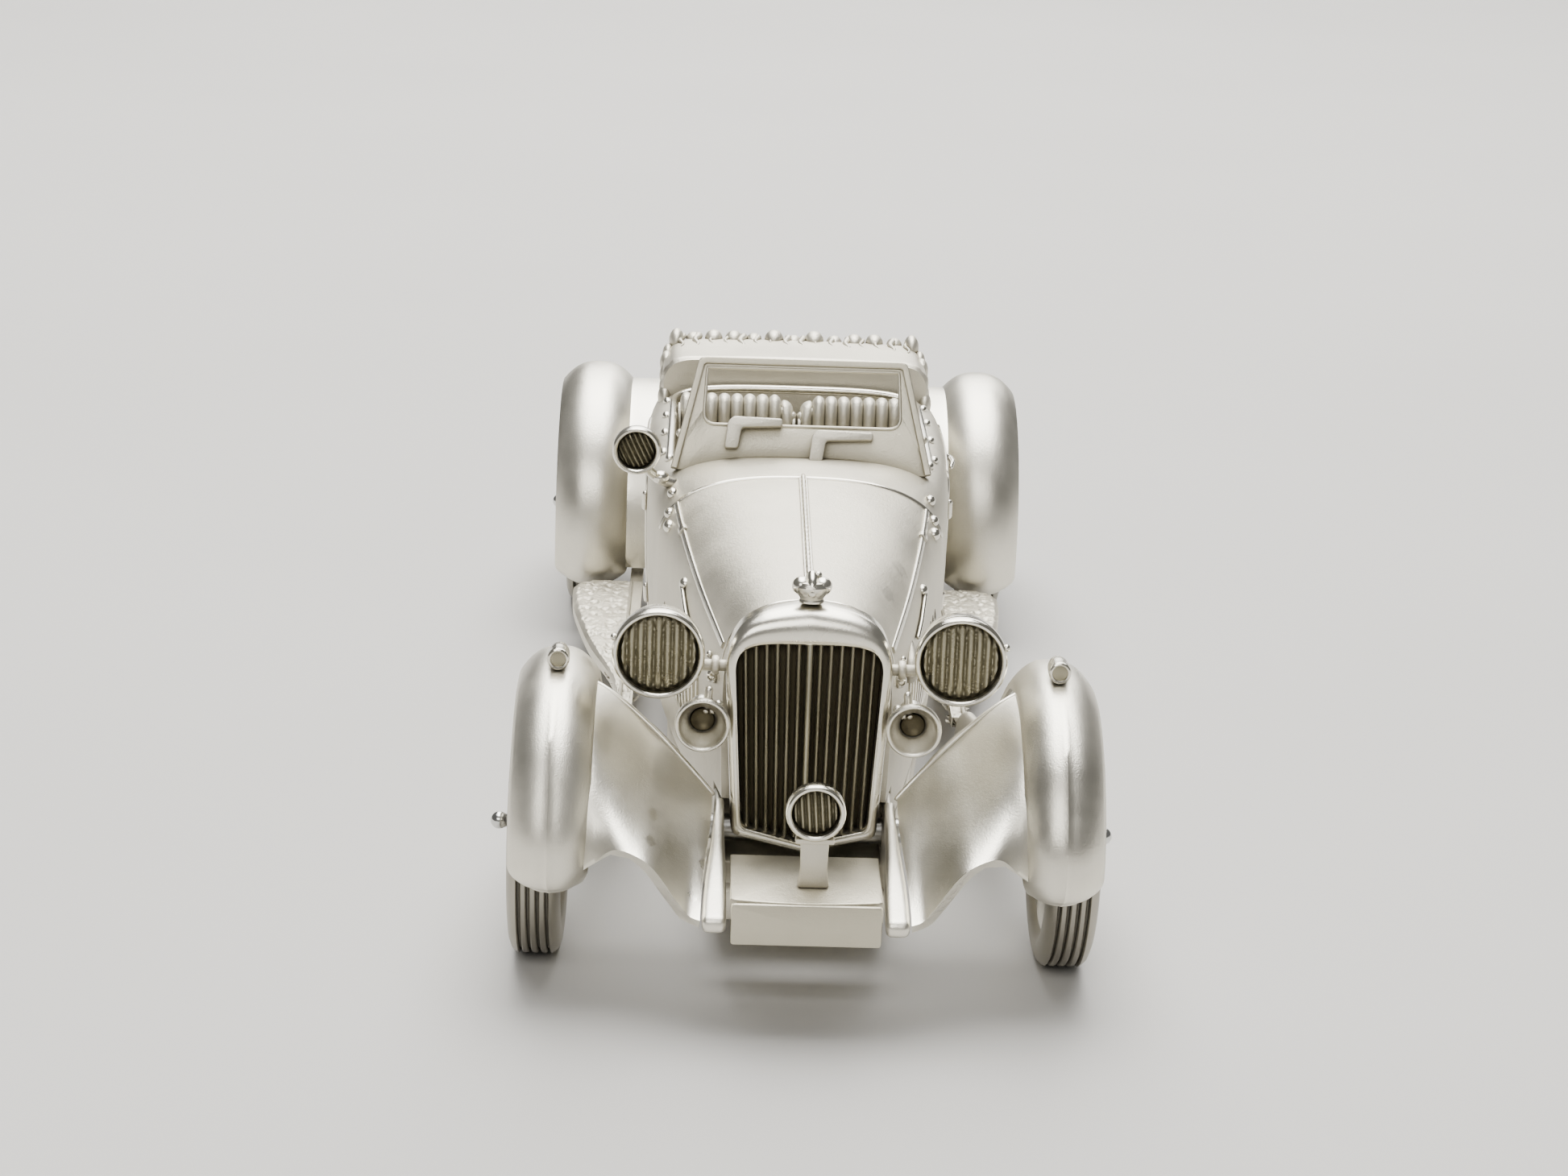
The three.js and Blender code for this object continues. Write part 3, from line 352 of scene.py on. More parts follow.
def lathe(profile, segments=64, loop=False):
    """(radius, depth) points turned about the Y axis."""
    points, faces, rings = [], [], []
    for radius, depth in profile:
        count = segments if radius > 1e-6 else 1
        rings.append([len(points) + i % count for i in range(segments)])
        for a in spaced(0, 2 * pi, segments)[:count]:
            points.append((radius * cos(a), depth, radius * sin(a)))
    if loop:
        rings.append(rings[0])
    for a, b in zip(rings, rings[1:]):
        for i in range(segments):
            j = (i + 1) % segments
            faces.append(dict.fromkeys((a[i], a[j], b[j], b[i])))
    return Shape(points, faces)


def frames_along(path, closed=False):
    """(point, side, up, along) at each point of a 3-D path, turning as little as it can."""
    path = [Vector(p) for p in path]
    made = []
    up = None
    for i, point in enumerate(path):
        before = path[i - 1] if closed or i else point
        after = path[(i + 1) % len(path)] if closed or i < len(path) - 1 else point
        along = (after - before).normalized()
        if up is None:
            up = Vector((0, 0, 1)) if abs(along.z) < 0.9 else Vector((0, 1, 0))
        side = along.cross(up).normalized()
        up = side.cross(along)
        made.append((point, side, up, along))
    return made


def tube(path, radius, sides=12, closed=False):
    """A round bar with domed ends; radius is a number or a function of the share along it."""
    size = radius if callable(radius) else lambda t: radius
    frames = frames_along(path, closed)

    def ring(frame, reach, shift=0.0):
        point, side, up, along = frame
        turns = spaced(0, 2 * pi, sides)[:-1]
        return [point + along * shift + (side * cos(a) + up * sin(a)) * reach for a in turns]

    rings = [ring(f, size(i / (len(frames) - 1))) for i, f in enumerate(frames)]
    if closed:
        return loft(rings, loop=True)
    first, last = size(0), size(1)
    dome = [radians(a) for a in (25, 50, 75)]
    start = [ring(frames[0], first * cos(a), -first * sin(a)) for a in dome]
    end = [ring(frames[-1], last * cos(a), last * sin(a)) for a in dome]
    return loft(start[::-1] + rings + end)


def ribbon(path, normals, width, height):
    """A low strip with rounded edges that lies along a surface and is let into it."""
    section = rounded(rectangle(-width / 2, -height, width / 2, height), height)
    rings = []
    for (point, _, _, along), normal in zip(frames_along(path), normals):
        side = along.cross(normal).normalized()
        rings.append([point + side * a + normal * b for a, b in section])
    return loft(rings)


def slab(outline, low, high, edge=0.12, place=lambda a, b, depth: (a, b, depth)):
    """A flat plate with rounded edges, from depth low to depth high."""
    outline = [Vector(p) for p in outline]
    levels = [(edge, low), (0.3 * edge, low + 0.3 * edge), (0, low + edge)]
    levels += [(0, high - edge), (0.3 * edge, high - 0.3 * edge), (edge, high)]
    return loft([[place(p.x, p.y, depth) for p in inset(outline, inner)] for inner, depth in levels])


def across(a, b, depth):
    """Outline in X and Z, depth backwards."""
    return (a, depth, b)


def lengthwise(a, b, depth):
    """Outline in Y and Z, depth to the car's left."""
    return (depth, a, b)


def sheet(point, wide, long, thickness):
    """A closed sheet under the surface point(u, v)."""

    def under(u, v):
        e = 1e-3
        du = point(min(u + e, 1), v) - point(max(u - e, 0), v)
        dv = point(u, min(v + e, 1)) - point(u, max(v - e, 0))
        normal = du.cross(dv).normalized()
        if normal.z < 0:
            normal.negate()
        return point(u, v) - normal * thickness

    us = spaced(0, 1, wide)
    return loft([[point(u, v) for u in us] + [under(u, v) for u in us[::-1]] for v in spaced(0, 1, long)])


def ball(centre, radius, squash=(1, 1, 1), segments=20):
    profile = [(sin(pi * t), -cos(pi * t)) for t in spaced(0, 1, segments // 2)]
    profile[0], profile[-1] = (0, -1), (0, 1)
    return lathe(profile, segments).turned(Matrix.Diagonal(Vector(squash) * radius)).moved(*centre)


# ---- materials
def fill(tree, socket, value):
    """Sets an input, or links it where the value is a socket."""
    if isinstance(value, bpy.types.NodeSocket):
        tree.links.new(value, socket)
    else:
        socket.default_value = value


def node_of(tree, kind, **inputs):
    """A node with its inputs filled by name, or by number as _0."""
    node = tree.nodes.new(kind)
    for name, value in inputs.items():
        fill(tree, node.inputs[int(name[1:])] if name[0] == "_" else node.inputs[name], value)
    return node


def ramp(tree, factor, *stops):
    """Maps a factor through two (position, grey) stops."""
    node = node_of(tree, "ShaderNodeValToRGB", _0=factor)
    for element, (position, grey) in zip(node.color_ramp.elements, stops):
        element.position = position
        element.color = (grey, grey, grey, 1)
    return node.outputs[0]


def sum_of(tree, a, b, operation="ADD"):
    node = node_of(tree, "ShaderNodeMath", _0=a, _1=b)
    node.operation = operation
    return node.outputs[0]


def blend_of(tree, factor, a, b):
    node = tree.nodes.new("ShaderNodeMix")
    node.data_type = "RGBA"
    for index, value in ((0, factor), (6, a), (7, b)):
        fill(tree, node.inputs[index], value)
    return node.outputs[2]


def new_material(name):
    """A material's node tree, its shader and its object coordinates."""
    material = bpy.data.materials.new(name)
    material.use_nodes = True
    tree = material.node_tree
    place = tree.nodes.new("ShaderNodeTexCoord").outputs["Object"]
    return material, tree, tree.nodes["Principled BSDF"], place


def noise_of(tree, place, scale, detail, roughness=0.5):
    fields = {"Vector": place, "Scale": scale, "Detail": detail, "Roughness": roughness}
    return node_of(tree, "ShaderNodeTexNoise", **fields).outputs[0]


def cast_metal(name, tone, shade, roughness, grain, recess=1.6, stretch=(1, 1, 1)):
    """White metal with a blasted grain, dark wax and painted shade in its recesses, and rubbed, brighter
    edges.
    """
    material, tree, shader, place = new_material(name)
    stretched = node_of(tree, "ShaderNodeMapping", Vector=place, Scale=stretch).outputs[0]
    fine = noise_of(tree, stretched, 8500, 3, 0.6)
    coarse = noise_of(tree, stretched, 2600, 2)
    cloud = noise_of(tree, place, 140, 4, 0.62)
    # Ambient occlusion blends the colour towards the shade colour in recesses: painted shade together with
    # dark wax.
    occlusion = node_of(tree, "ShaderNodeAmbientOcclusion", Distance=recess * MM)
    occlusion.samples = 8
    open_sky = occlusion.outputs["AO"]
    edge = ramp(tree, tree.nodes.new("ShaderNodeNewGeometry").outputs["Pointiness"], (0.5, 0), (0.58, 1))
    tarnish = ramp(tree, cloud, (0.36, 0.84), (0.62, 1))
    kept = sum_of(tree, ramp(tree, open_sky, (0.12, 0), (0.78, 1)), tarnish, "MULTIPLY")
    base = blend_of(tree, kept, (*shade, 1), (*tone, 1))
    rubbed = sum_of(tree, edge, 0.3, "MULTIPLY")
    bright_tone = [min(1, c * 1.12) for c in tone]
    fill(tree, shader.inputs["Base Color"], blend_of(tree, rubbed, base, (*bright_tone, 1)))
    spread = sum_of(tree, ramp(tree, cloud, (0.3, 0), (0.7, 0.14)), roughness - 0.07)
    waxed = sum_of(tree, ramp(tree, open_sky, (0.2, 0.22), (0.8, 0)), spread)
    polished = sum_of(tree, edge, -0.1, "MULTIPLY")
    fill(tree, shader.inputs["Roughness"], sum_of(tree, waxed, polished))
    height = sum_of(tree, fine, sum_of(tree, coarse, 0.7, "MULTIPLY"))
    bump = node_of(tree, "ShaderNodeBump", Strength=grain, Distance=0.045 * MM, Height=height)
    fill(tree, shader.inputs["Normal"], bump.outputs[0])
    shader.inputs["Metallic"].default_value = 1
    return material


SATIN_TONE = (0.70, 0.665, 0.565)
DULL_TONE = (0.58, 0.545, 0.44)
BRIGHT_TONE = (0.80, 0.77, 0.675)
DARK_TONE = (0.50, 0.47, 0.38)
# Near-black for deep recesses: black wax and painted shade.
BLACK_WAX_AND_SHADE_TONE = (0.11, 0.095, 0.06)
# Lens colour: dark olive metal, darkened further as painted shade from the rim.
LENS_TONE = (0.34, 0.315, 0.23)
# Tyre tone: silver cast pewter darkened as painted shade and painted reflection of a dark floor.
TYRE_SHADED_TONE = (0.36, 0.34, 0.29)
# Recess colour of the pewter looks: dark wax and painted shade.
WAX_AND_SHADE = (0.10, 0.085, 0.05)
# Grille bars: tone and recess colour darkened as painted shade, for bars set back in the opening.
BAR_PAINTED_SHADE = (0.12, 0.105, 0.07)
LENS_WAX_AND_SHADE = (0.04, 0.035, 0.02)
looks = {
    "satin_pewter": cast_metal("satin pewter", SATIN_TONE, WAX_AND_SHADE, 0.52, 0.6),
    "dull_pewter": cast_metal("dull pewter", DULL_TONE, WAX_AND_SHADE, 0.5, 0.5, 1.8),
    "rubbed_pewter": cast_metal("rubbed pewter", BRIGHT_TONE, WAX_AND_SHADE, 0.39, 0.3, 1.3),
    "bright_pewter": cast_metal("bright pewter", BRIGHT_TONE, WAX_AND_SHADE, 0.25, 0.1, 1.0),
    "antiqued_dark": cast_metal("antiqued pewter", DARK_TONE, (0.02, 0.016, 0.01), 0.4, 0.2, 0.9),
    "black_wax_and_shade": cast_metal("black wax and painted shade", BLACK_WAX_AND_SHADE_TONE, (0.03, 0.025, 0.015), 0.5, 0.2, 0.8),
    "grille_bars_painted_shade": cast_metal("grille bars with painted shade", (0.36, 0.34, 0.27), BAR_PAINTED_SHADE, 0.4, 0.2, 0.35),
    "antiqued_lens": cast_metal("waxed and shaded lens metal", LENS_TONE, LENS_WAX_AND_SHADE, 0.36, 0.2, 0.6),
    "tyre_metal": cast_metal("tyre metal with painted shade", TYRE_SHADED_TONE, (0.05, 0.045, 0.032), 0.45, 0.3, 0.9),
    "steel": cast_metal("steel", (0.66, 0.66, 0.64), (0.15, 0.14, 0.12), 0.22, 0.08, stretch=(0.2, 3, 3)),
}


def closed_mesh(name, shape):
    """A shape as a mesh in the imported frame, with its faces turned outwards."""
    mesh = bpy.data.meshes.new(name)
    mesh.from_pydata([placed(p) for p in shape.points], [], shape.faces)
    work = bmesh.new()
    work.from_mesh(mesh)
    bmesh.ops.remove_doubles(work, verts=work.verts, dist=1e-8)
    bmesh.ops.recalc_face_normals(work, faces=work.faces)
    work.to_mesh(mesh)
    work.free()
    return mesh


def soften(mesh):
    """Smooth shading, except over sharp edges."""
    mesh.shade_smooth()
    mesh.set_sharp_from_angle(angle=radians(38))


def show(name, shape, look, body="car_body", instead=None):
    """Makes one visible piece, which rides on a body and may stand for a CAD node."""
    mesh = closed_mesh(name, shape)
    soften(mesh)
    piece = in_scene(name, mesh)
    mesh.materials.append(looks[look])
    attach(piece, body)
    if instead:
        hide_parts(instead)
    return piece


def stand_in(node, shape, look, body="car_body"):
    """The visible piece for one CAD node, named after it."""
    return show(f"{node}_cast", shape, look, body, node)


def show_pair(name, shape, look, body="car_body"):
    """The same piece on the left and, mirrored, on the right, each in its own CAD node's place."""
    stand_in(f"{name}_left", shape, look, body)
    stand_in(f"{name}_right", shape.mirrored(), look, body)


def carve(piece, cutter_shape):
    """Cuts a closed shape out of a piece."""
    cutter = in_scene("cutter", closed_mesh("cutter", cutter_shape))
    modifier = piece.modifiers.new("cut", "BOOLEAN")
    modifier.object = cutter
    modifier.solver = "EXACT"
    bpy.context.view_layer.update()
    done = bpy.data.meshes.new_from_object(piece.evaluated_get(bpy.context.evaluated_depsgraph_get()))
    piece.modifiers.clear()
    piece.data = done
    bpy.data.objects.remove(cutter)
    soften(done)


# ---- body surface
# Stations along the car, with a share of the half-width, a height or a power at each.
widths = [(12, 0.68), (BONNET_END, 0.885), (COCKPIT_FRONT, 0.96), (COCKPIT_REAR - 6, 1)]
widths += [(WHEELBASE - 12, 0.97), (WHEELBASE - 3, 0.88), (WHEELBASE + 7, 0.72)]
widths += [(TAIL_END - 1.6, 0.56), (TAIL_END, 0.4)]
nose = [(-4, NOSE_HALF - 0.7), (1, NOSE_HALF)]
body_half_at = through(nose + [(y, share * BODY_HALF) for y, share in widths])
tops = [(-4, NOSE_TOP - 0.2), (1, NOSE_TOP), (BONNET_END, SCUTTLE_TOP), (SCREEN_FOOT[1], SCUTTLE_TOP)]
tops += [(COCKPIT_FRONT, SCUTTLE_TOP - 0.4), (COCKPIT_REAR, DECK_TOP), (WHEELBASE - 10, DECK_TOP - 1)]
tops += [(WHEELBASE + 2, DECK_TOP - 4), (TAIL_END - 3, DECK_TOP - 9.6), (TAIL_END, DECK_TOP - 12.4)]
body_top_at = through(tops)
shoulders = [(-4, 17), (BONNET_END - 5, 18), (COCKPIT_FRONT, 20), (COCKPIT_REAR, 19.6)]
shoulder_at = through(shoulders + [(WHEELBASE, 14.5), (TAIL_END, 9.5)])
powers = [(-4, 2.5), (BONNET_END, 2.6), (COCKPIT_FRONT, 3.2), (COCKPIT_REAR, 3.6)]
squareness_at = through(powers + [(WHEELBASE, 2.8), (TAIL_END, 2.4)])


def arch_point(y, angle, proud=0.0):
    """A point of the body's arched top: angle 0 is the shoulder, a right angle the middle."""
    half, top, shoulder = body_half_at(y), body_top_at(y), shoulder_at(y)
    power = 2 / squareness_at(y)
    c, s = max(cos(angle), 0), max(sin(angle), 0)
    return Vector(((half + proud) * c**power, y, shoulder + (top + proud - shoulder) * s**power))


def side_point(y, z, proud=0.0):
    """The point of the body's left side at a height."""
    half, shoulder = body_half_at(y) + proud, shoulder_at(y)
    if z <= shoulder:
        w = (z - BODY_BOTTOM) / (shoulder - BODY_BOTTOM)
        return Vector((half * (0.93 + 0.17 * w - 0.1 * w * w), y, z))
    n = squareness_at(y)
    share = min((z - shoulder) / (body_top_at(y) - shoulder), 1)
    return Vector((half * (1 - share**n) ** (1 / n), y, z))


def top_height(x, y):
    """Height of the body's top at x across the car."""
    n = squareness_at(y)
    share = min(abs(x) / body_half_at(y), 1)
    return shoulder_at(y) + (body_top_at(y) - shoulder_at(y)) * (1 - share**n) ** (1 / n)


def body_ring(y, lean=0.0):
    """The closed outline of the body at one station."""
    left = [side_point(y, z) for z in spaced(BODY_BOTTOM, shoulder_at(y), 8)[:-1]]
    left += [arch_point(y, a) for a in spaced(0, pi / 2, 26)]
    return [p + Vector((0, lean * (NOSE_TOP - p.z), 0)) for p in left + flipped(left[:-1])]


def axle_tunnel(y):
    """The space kept open through a casting for an axle and its bearings."""
    outline = rectangle(y - 2.2, 0, y + 2.2, TYRE_RADIUS + 2.2)
    return slab(outline, -BODY_HALF - 2, BODY_HALF + 2, place=lengthwise)


def bead_over(y, radius, first=12):
    """A thin raised line over the body's top at one station."""
    arch = [arch_point(y, radians(a)) for a in spaced(first, 90, 30)]
    return tube(arch + flipped(arch[:-1]), radius, 8)


# ---- bonnet
def bonnet_strip():
    """The flat hinge strip along the left shoulder of the bonnet, with its clip."""
    path, normals = [], []
    for t in spaced(0, 1, 40):
        y, angle = mix(SHELL_BACK + 1.6, BONNET_END - 0.6, t), radians(mix(20, 33, t))
        path.append(arch_point(y, angle))
        normals.append((arch_point(y, angle, 0.5) - path[-1]).normalized())
    return ribbon(path, normals, 0.5, 0.17) + ribbon(path[32:34], normals[32:34], 0.75, 0.26)


def louvre(y):
    """One pressed louvre in the left side of the bonnet."""
    path = [side_point(y - 0.35 + 0.5 * t, mix(10.6, 16.2, t), 0.02) for t in spaced(0, 1, 12)]
    return tube(path, lambda t: 0.05 + 0.19 * sin(pi * t) ** 0.35, 8)


def bonnet():
    front = SHELL_BACK + 0.1
    slope = -tan(SHELL_LEAN) / (BONNET_END - front)
    rings = [body_ring(y, slope * (BONNET_END - y)) for y in spaced(front, BONNET_END - 0.02, 44)]
    carve(stand_in("bonnet", loft(rings), "satin_pewter"), axle_tunnel(0))
    ridge = [Vector((0, y, body_top_at(y) + 0.02)) for y in spaced(SHELL_BACK + 1.2, BONNET_END - 0.1, 90)]
    trims = ribbon(ridge, [Vector((0, 0, 1))] * len(ridge), 0.62, 0.1)
    rod = [p + Vector((0, 0, 0.12)) for p in ridge]
    trims += tube(rod, lambda t: 0.15 + 0.035 * abs(sin(28 * pi * t)))
    trims += bead_over(BONNET_END - 0.25, 0.13) + bead_over(SHELL_BACK + 1.0, 0.1, first=2)
    trims += (bonnet_strip() + all_of(louvre(y) for y in spaced(7.5, 20.5, 10))).on_both_sides()
    show("bonnet_trim", trims, "bright_pewter")


bonnet()


# ---- tub, doors and rear deck
def door():
    """Raised joint line of one door, with its two hinges."""
    front, rear = COCKPIT_FRONT + 2.4, COCKPIT_REAR - 1.9
    outline = rounded([(front, 9.2), (rear, 9.2), (rear, 21.9), (front, 21.5)], 1.6, steps=6)
    line = [side_point(p.x, p.y, 0.02) for p in finer(outline + outline[:1], 0.5)[:-1]]
    shape = tube(line, 0.1, 8, closed=True)
    for z in (12, 19):
        shape += tube([side_point(front - 0.1, z - 0.5, 0.12), side_point(front - 0.1, z + 0.5, 0.12)], 0.24)
    return shape


def coaming(y_front, y_rear):
    """The rolled edge round the cockpit, from one side to the other."""
    half = COCKPIT_HALF + 0.1
    corners = [(half, y_front), (half, y_rear), (-half, y_rear), (-half, y_front)]
    outline = finer(rounded(corners, 2.4, closed=False, steps=8), 0.4)
    return [Vector((p.x, p.y, top_height(p.x, p.y) + 0.02)) for p in outline]


def deck_line():
    """The raised joint line of the boot lid."""
    front, rear = WHEELBASE + 1.5, TAIL_END - 2.6
    left = [arch_point(mix(front, rear, t), radians(mix(48, 30, t))) for t in spaced(0, 1, 30)]
    ahead = [arch_point(front, radians(a)) for a in spaced(90, 50, 20)]
    behind = [arch_point(rear, radians(a)) for a in spaced(32, 90, 20)]
    return tube(left + behind + flipped(left + behind[:-1]) + flipped(ahead) + ahead, 0.1, 8, closed=True)


def tub():
    stations = spaced(BONNET_END + 0.02, TAIL_END - 2, 84) + spaced(TAIL_END - 1.75, TAIL_END, 8)
    piece = stand_in("body_tub", loft([body_ring(y) for y in stations]), "satin_pewter")
    hollow = rectangle(-COCKPIT_HALF, COCKPIT_FRONT, COCKPIT_HALF, COCKPIT_REAR)
    carve(piece, slab(rounded(hollow, 2.2, steps=8), COCKPIT_FLOOR, DECK_TOP + 8))
    carve(piece, axle_tunnel(WHEELBASE))

    side = door()
    x = COCKPIT_HALF + 0.55
    for y in spaced(COCKPIT_FRONT + 2.5, COCKPIT_REAR - 1.5, 3):
        side += ball((x, y, top_height(x, y) + 0.02), 0.4, (0.9, 1.3, 0.8), 18)
    trims = tube(coaming(COCKPIT_FRONT + 0.2, COCKPIT_REAR + 0.1), 0.34, 12)
    trims += side.on_both_sides() + deck_line()
    handle = [arch_point(TAIL_END - 4.6, radians(a), 0.35) for a in spaced(80, 100, 8)]
    trims += tube([(1.1 * share, p.y, p.z) for share, p in zip(spaced(-1, 1, 8), handle)], 0.2)
    filler = lathe([(0, 0.75), (0.75, 0.7), (0.95, 0.5), (0.95, 0.1), (1.1, 0), (1.1, -0.6), (0, -0.6)], 32)
    x, y = -4.2, WHEELBASE - 1.5
    trims += filler.turned(UPRIGHT).moved(x, y, top_height(x, y) + 0.1)
    show("body_trim", trims, "bright_pewter")


tub()


# ---- fenders and running boards
def channel_ring(at, normal, inner, outer, drop, inner_drop, ridge=0.0):
    """One section of a fender's crown, a rounded channel of sheet metal."""
    width, lip, wall = outer - inner, 0.16, SHEET
    section = [(inner + lip, -inner_drop), (inner, -inner_drop + lip)]
    for t in spaced(0, 1, 24):
        u = abs(2 * t - 1)
        section.append((inner + width * t, -1.5 * u**2.5 + ridge * max(0, 1 - 9 * u)))
    section += [(outer, -drop + lip), (outer - lip, -drop)]
    section += [(outer - wall + lip, -drop), (outer - wall, -drop + lip)]
    for t in spaced(1, 0, 12):
        section.append((inner + wall + (width - 2 * wall) * t, -wall - 1.2 * abs(2 * t - 1) ** 2.5))
    section += [(inner + wall, -inner_drop + lip), (inner + wall - lip, -inner_drop)]
    return [Vector((x, at.x + normal.x * depth, at.y + normal.y * depth)) for x, depth in section]


# Along and above the hub, in shares of the front fender's reach and rise.
FRONT_CREST = [(-0.95, 0.34), (-0.72, 0.71), (-0.36, 0.945), (0, 1), (0.42, 0.92), (0.86, 0.63), (1.3, 0.22)]


def front_fender():
    """Crown and apron; the crown's front end rolls in at its corners."""
    crest = [(-FENDER_REACH + 0.3, TYRE_RADIUS - 0.1)]
    crest += [(y * FENDER_REACH, TYRE_RADIUS + z * FENDER_RISE) for y, z in FRONT_CREST]
    crest += [(BONNET_END - 2, BODY_BOTTOM + 0.4), (BONNET_END + 4, BODY_BOTTOM - 0.9)]
    fine = even_curve(crest, 400)
    crest = fine[:14] + fine[14:-14:5] + fine[-14:]
    corner = 1.3
    rings = []
    travelled = 0.0
    whole = sum((b - a).length for a, b in zip(crest, crest[1:]))
    for i, at in enumerate(crest):
        travelled += (at - crest[i - 1]).length if i else 0
        along = (crest[min(i + 1, len(crest) - 1)] - crest[max(i - 1, 0)]).normalized()
        fade = smooth(at.x, 6, BONNET_END + 4)
        roll = round_off(1 - min(travelled, whole - travelled) / corner)
        inner = mix(FENDER_INNER, BODY_HALF + 0.5, fade) + 0.5 * corner * roll * (1 - fade)
        outer = mix(FENDER_OUTER, BODY_HALF + 2.3, fade) - 0.75 * corner * roll
        normal = Vector((-along.y, along.x))
        ridge = 0.12 * smooth(at.x, -2, -FENDER_REACH + 1.5)
        rings.append(channel_ring(at - normal * 0.5 * roll, normal, inner, outer, 2.6, 2.1, ridge))
    ends = []
    for ring, down in ((rings[0], 0.1), (rings[-1], 0)):
        middle = sum(ring, Vector()) / len(ring)
        ends.append([mix(p, middle, 0.05) - Vector((0, 0, down)) for p in ring])
    lip = tube([apron_point(u, 0) - Vector((0, 0, 0.08)) for u in spaced(0.03, 1, 40)], 0.17, 10)
    return loft([ends[0], *rings, ends[1]]) + sheet(apron_point, 48, 48, SHEET) + lip


foot_line = [(0, 1.1), (0.09, 1.7), (0.25, 2.7), (0.43, 2.6), (0.6, 1.9), (0.8, 0.2), (0.9, -0.6), (1, -0.8)]
apron_foot_at = through(foot_line)


def apron_point(u, v):
    """The apron between the crown (u = 0) and the frame horn (u = 1), from its top edge down."""
    crest = TYRE_RADIUS + FENDER_RISE - 1.8
    start = Vector((1 - 3.4 * u, crest - 5.9 * u**1.35))
    hollow = smooth(u, 0.04, 0.5) * (1 - 0.7 * smooth(u, 0.7, 1))
    upper = mix(mix(Vector((-4.6, crest)), Vector((-6, 10.3)), u), start - Vector((0.25, 1.1)), hollow)
    lower = mix(Vector((-9.8, crest - 2.7)), Vector((-9.6, 9)), u) + Vector((1.2, 0.3)) * hollow
    foot = Vector((-FENDER_REACH + 1.3 - 2.7 * u, TYRE_RADIUS + apron_foot_at(u)))
    w = 1 - v
    p = start * w**3 + upper * 3 * w * w * v + lower * 3 * w * v * v + foot * v**3
    return Vector((mix(FENDER_INNER + 0.3, horn_outer_at(p.x) + 0.12, u), p.x, p.y))


def horn_outer_at(y):
    """The frame horn's outer face, which flares to its foot."""
    return mix(HORN_TOP_OUTER, HORN_FOOT_OUTER, smooth(y, -3, -13))


def rear_fender():
    hub = Vector((WHEELBASE, TYRE_RADIUS))
    rings = []
    first, last, corner, near = radians(-20), radians(190), 1.3, 0.12
    turns = spaced(first, first + near, 10) + spaced(first + near, last - near, 80)[1:-1]
    for angle in turns + spaced(last - near, last, 10):
        normal = Vector((-cos(angle), sin(angle)))
        roll = round_off(1 - min(angle - first, last - angle) / near)
        at = hub + normal * (REAR_FENDER_RISE - 0.5 * roll)
        inner, outer = REAR_FENDER_INNER + 0.6 * corner * roll, REAR_FENDER_OUTER - 0.8 * corner * roll
        rings.append(channel_ring(at, normal, inner, outer, 3.1, 2.6))
    out = REAR_FENDER_RISE - 1.35
    rows = []
    for angle in spaced(-0.24, pi - 0.3, 60):
        outward = Vector((-cos(angle), sin(angle)))
        edge = hub + outward * out
        under = edge - outward * SHEET
        xs = spaced(0.8 * body_half_at(edge.x), REAR_FENDER_INNER + 0.3, 10)
        rows.append([Vector((x, *edge)) for x in xs] + [Vector((x, *under)) for x in xs[::-1]])
    return loft(rings) + loft(rows)


def running_board():
    start, end = BONNET_END + 4.6, WHEELBASE - REAR_FENDER_RISE - GAP
    inner, reach, corner = BODY_HALF + 0.35, 5.55, 1.5
    shares = [(0, 0.15), (0.25, 0.32), (0.5, 0.68), (0.8, 0.96), (1, 1)]
    edge_at = through([(mix(start, end, t), inner + share * reach) for t, share in shares])
    low, high = span("running_board_left")

    def point(u, v):
        y = mix(start, end, 1 - (1 - v) ** 1.3)
        outer = edge_at(y) - corner * round_off((y - end + corner) / corner)
        x = mix(inner, outer, u)
        sill = smooth(u, 0.2, 0.14)
        rolled = 0.25 * smooth(u, 0.93, 1.0) + 0.2 * smooth(v, 0.995, 1)
        spot = Vector((x * 1.25, y * 1.25, 0))
        pits = noise.voronoi(spot)[0]
        hammered = 0.36 * (min(pits[0], 0.55) - 0.34) + 0.08 * noise.noise(spot * 3)
        return Vector((x, y, high.z - 0.1 + 0.06 * sill - rolled + hammered * (1 - sill) * smooth(u, 1, 0.9)))

    outline = rectangle(inner, end - 0.3, REAR_FENDER_INNER - GAP, end + 3.9)
    tongue = slab(outline, low.z + 0.05, high.z - 0.12)
    strip = [Vector((inner + 0.9, y, high.z + 0.02)) for y in spaced(start + 0.3, end - 0.4, 40)]
    return sheet(point, 46, 170, high.z - low.z - 0.25) + tongue + tube(strip, 0.13, 8)


show_pair("fender_front", front_fender(), "rubbed_pewter")
show_pair("fender_rear", rear_fender(), "rubbed_pewter")
show_pair("running_board", running_board(), "satin_pewter")

# ---- radiator
LEANING = Matrix.Translation(SHELL_FOOT) @ Matrix.Rotation(-SHELL_LEAN, 4, "X")


def shell_outline(foot, half, low, top, corner, controls):
    """A radiator outline with a pointed foot; the header runs from the side to the middle."""
    right = bezier([(0, low), (foot - 0.4, low + 0.9)], 10)
    right += bezier([(foot - 0.4, low + 0.9), (foot, low + 1), (foot + 0.03, low + 1.6)], 6)
    right += bezier([(foot + 0.03, low + 1.6), (half, corner)], 22)
    right += bezier([(half, corner), *controls, (0, top)], 30)
    right.append(Vector((0, top)))
    return right + flipped(right[1:-1])


def outer_outline():
    half, top = SHELL_HALF, SHELL_HEIGHT
    controls = [(half, top - 0.9), (half - 1.6, top - 0.5)]
    return shell_outline(SHELL_FOOT_HALF, half, 0, top, top - 4.6, controls)


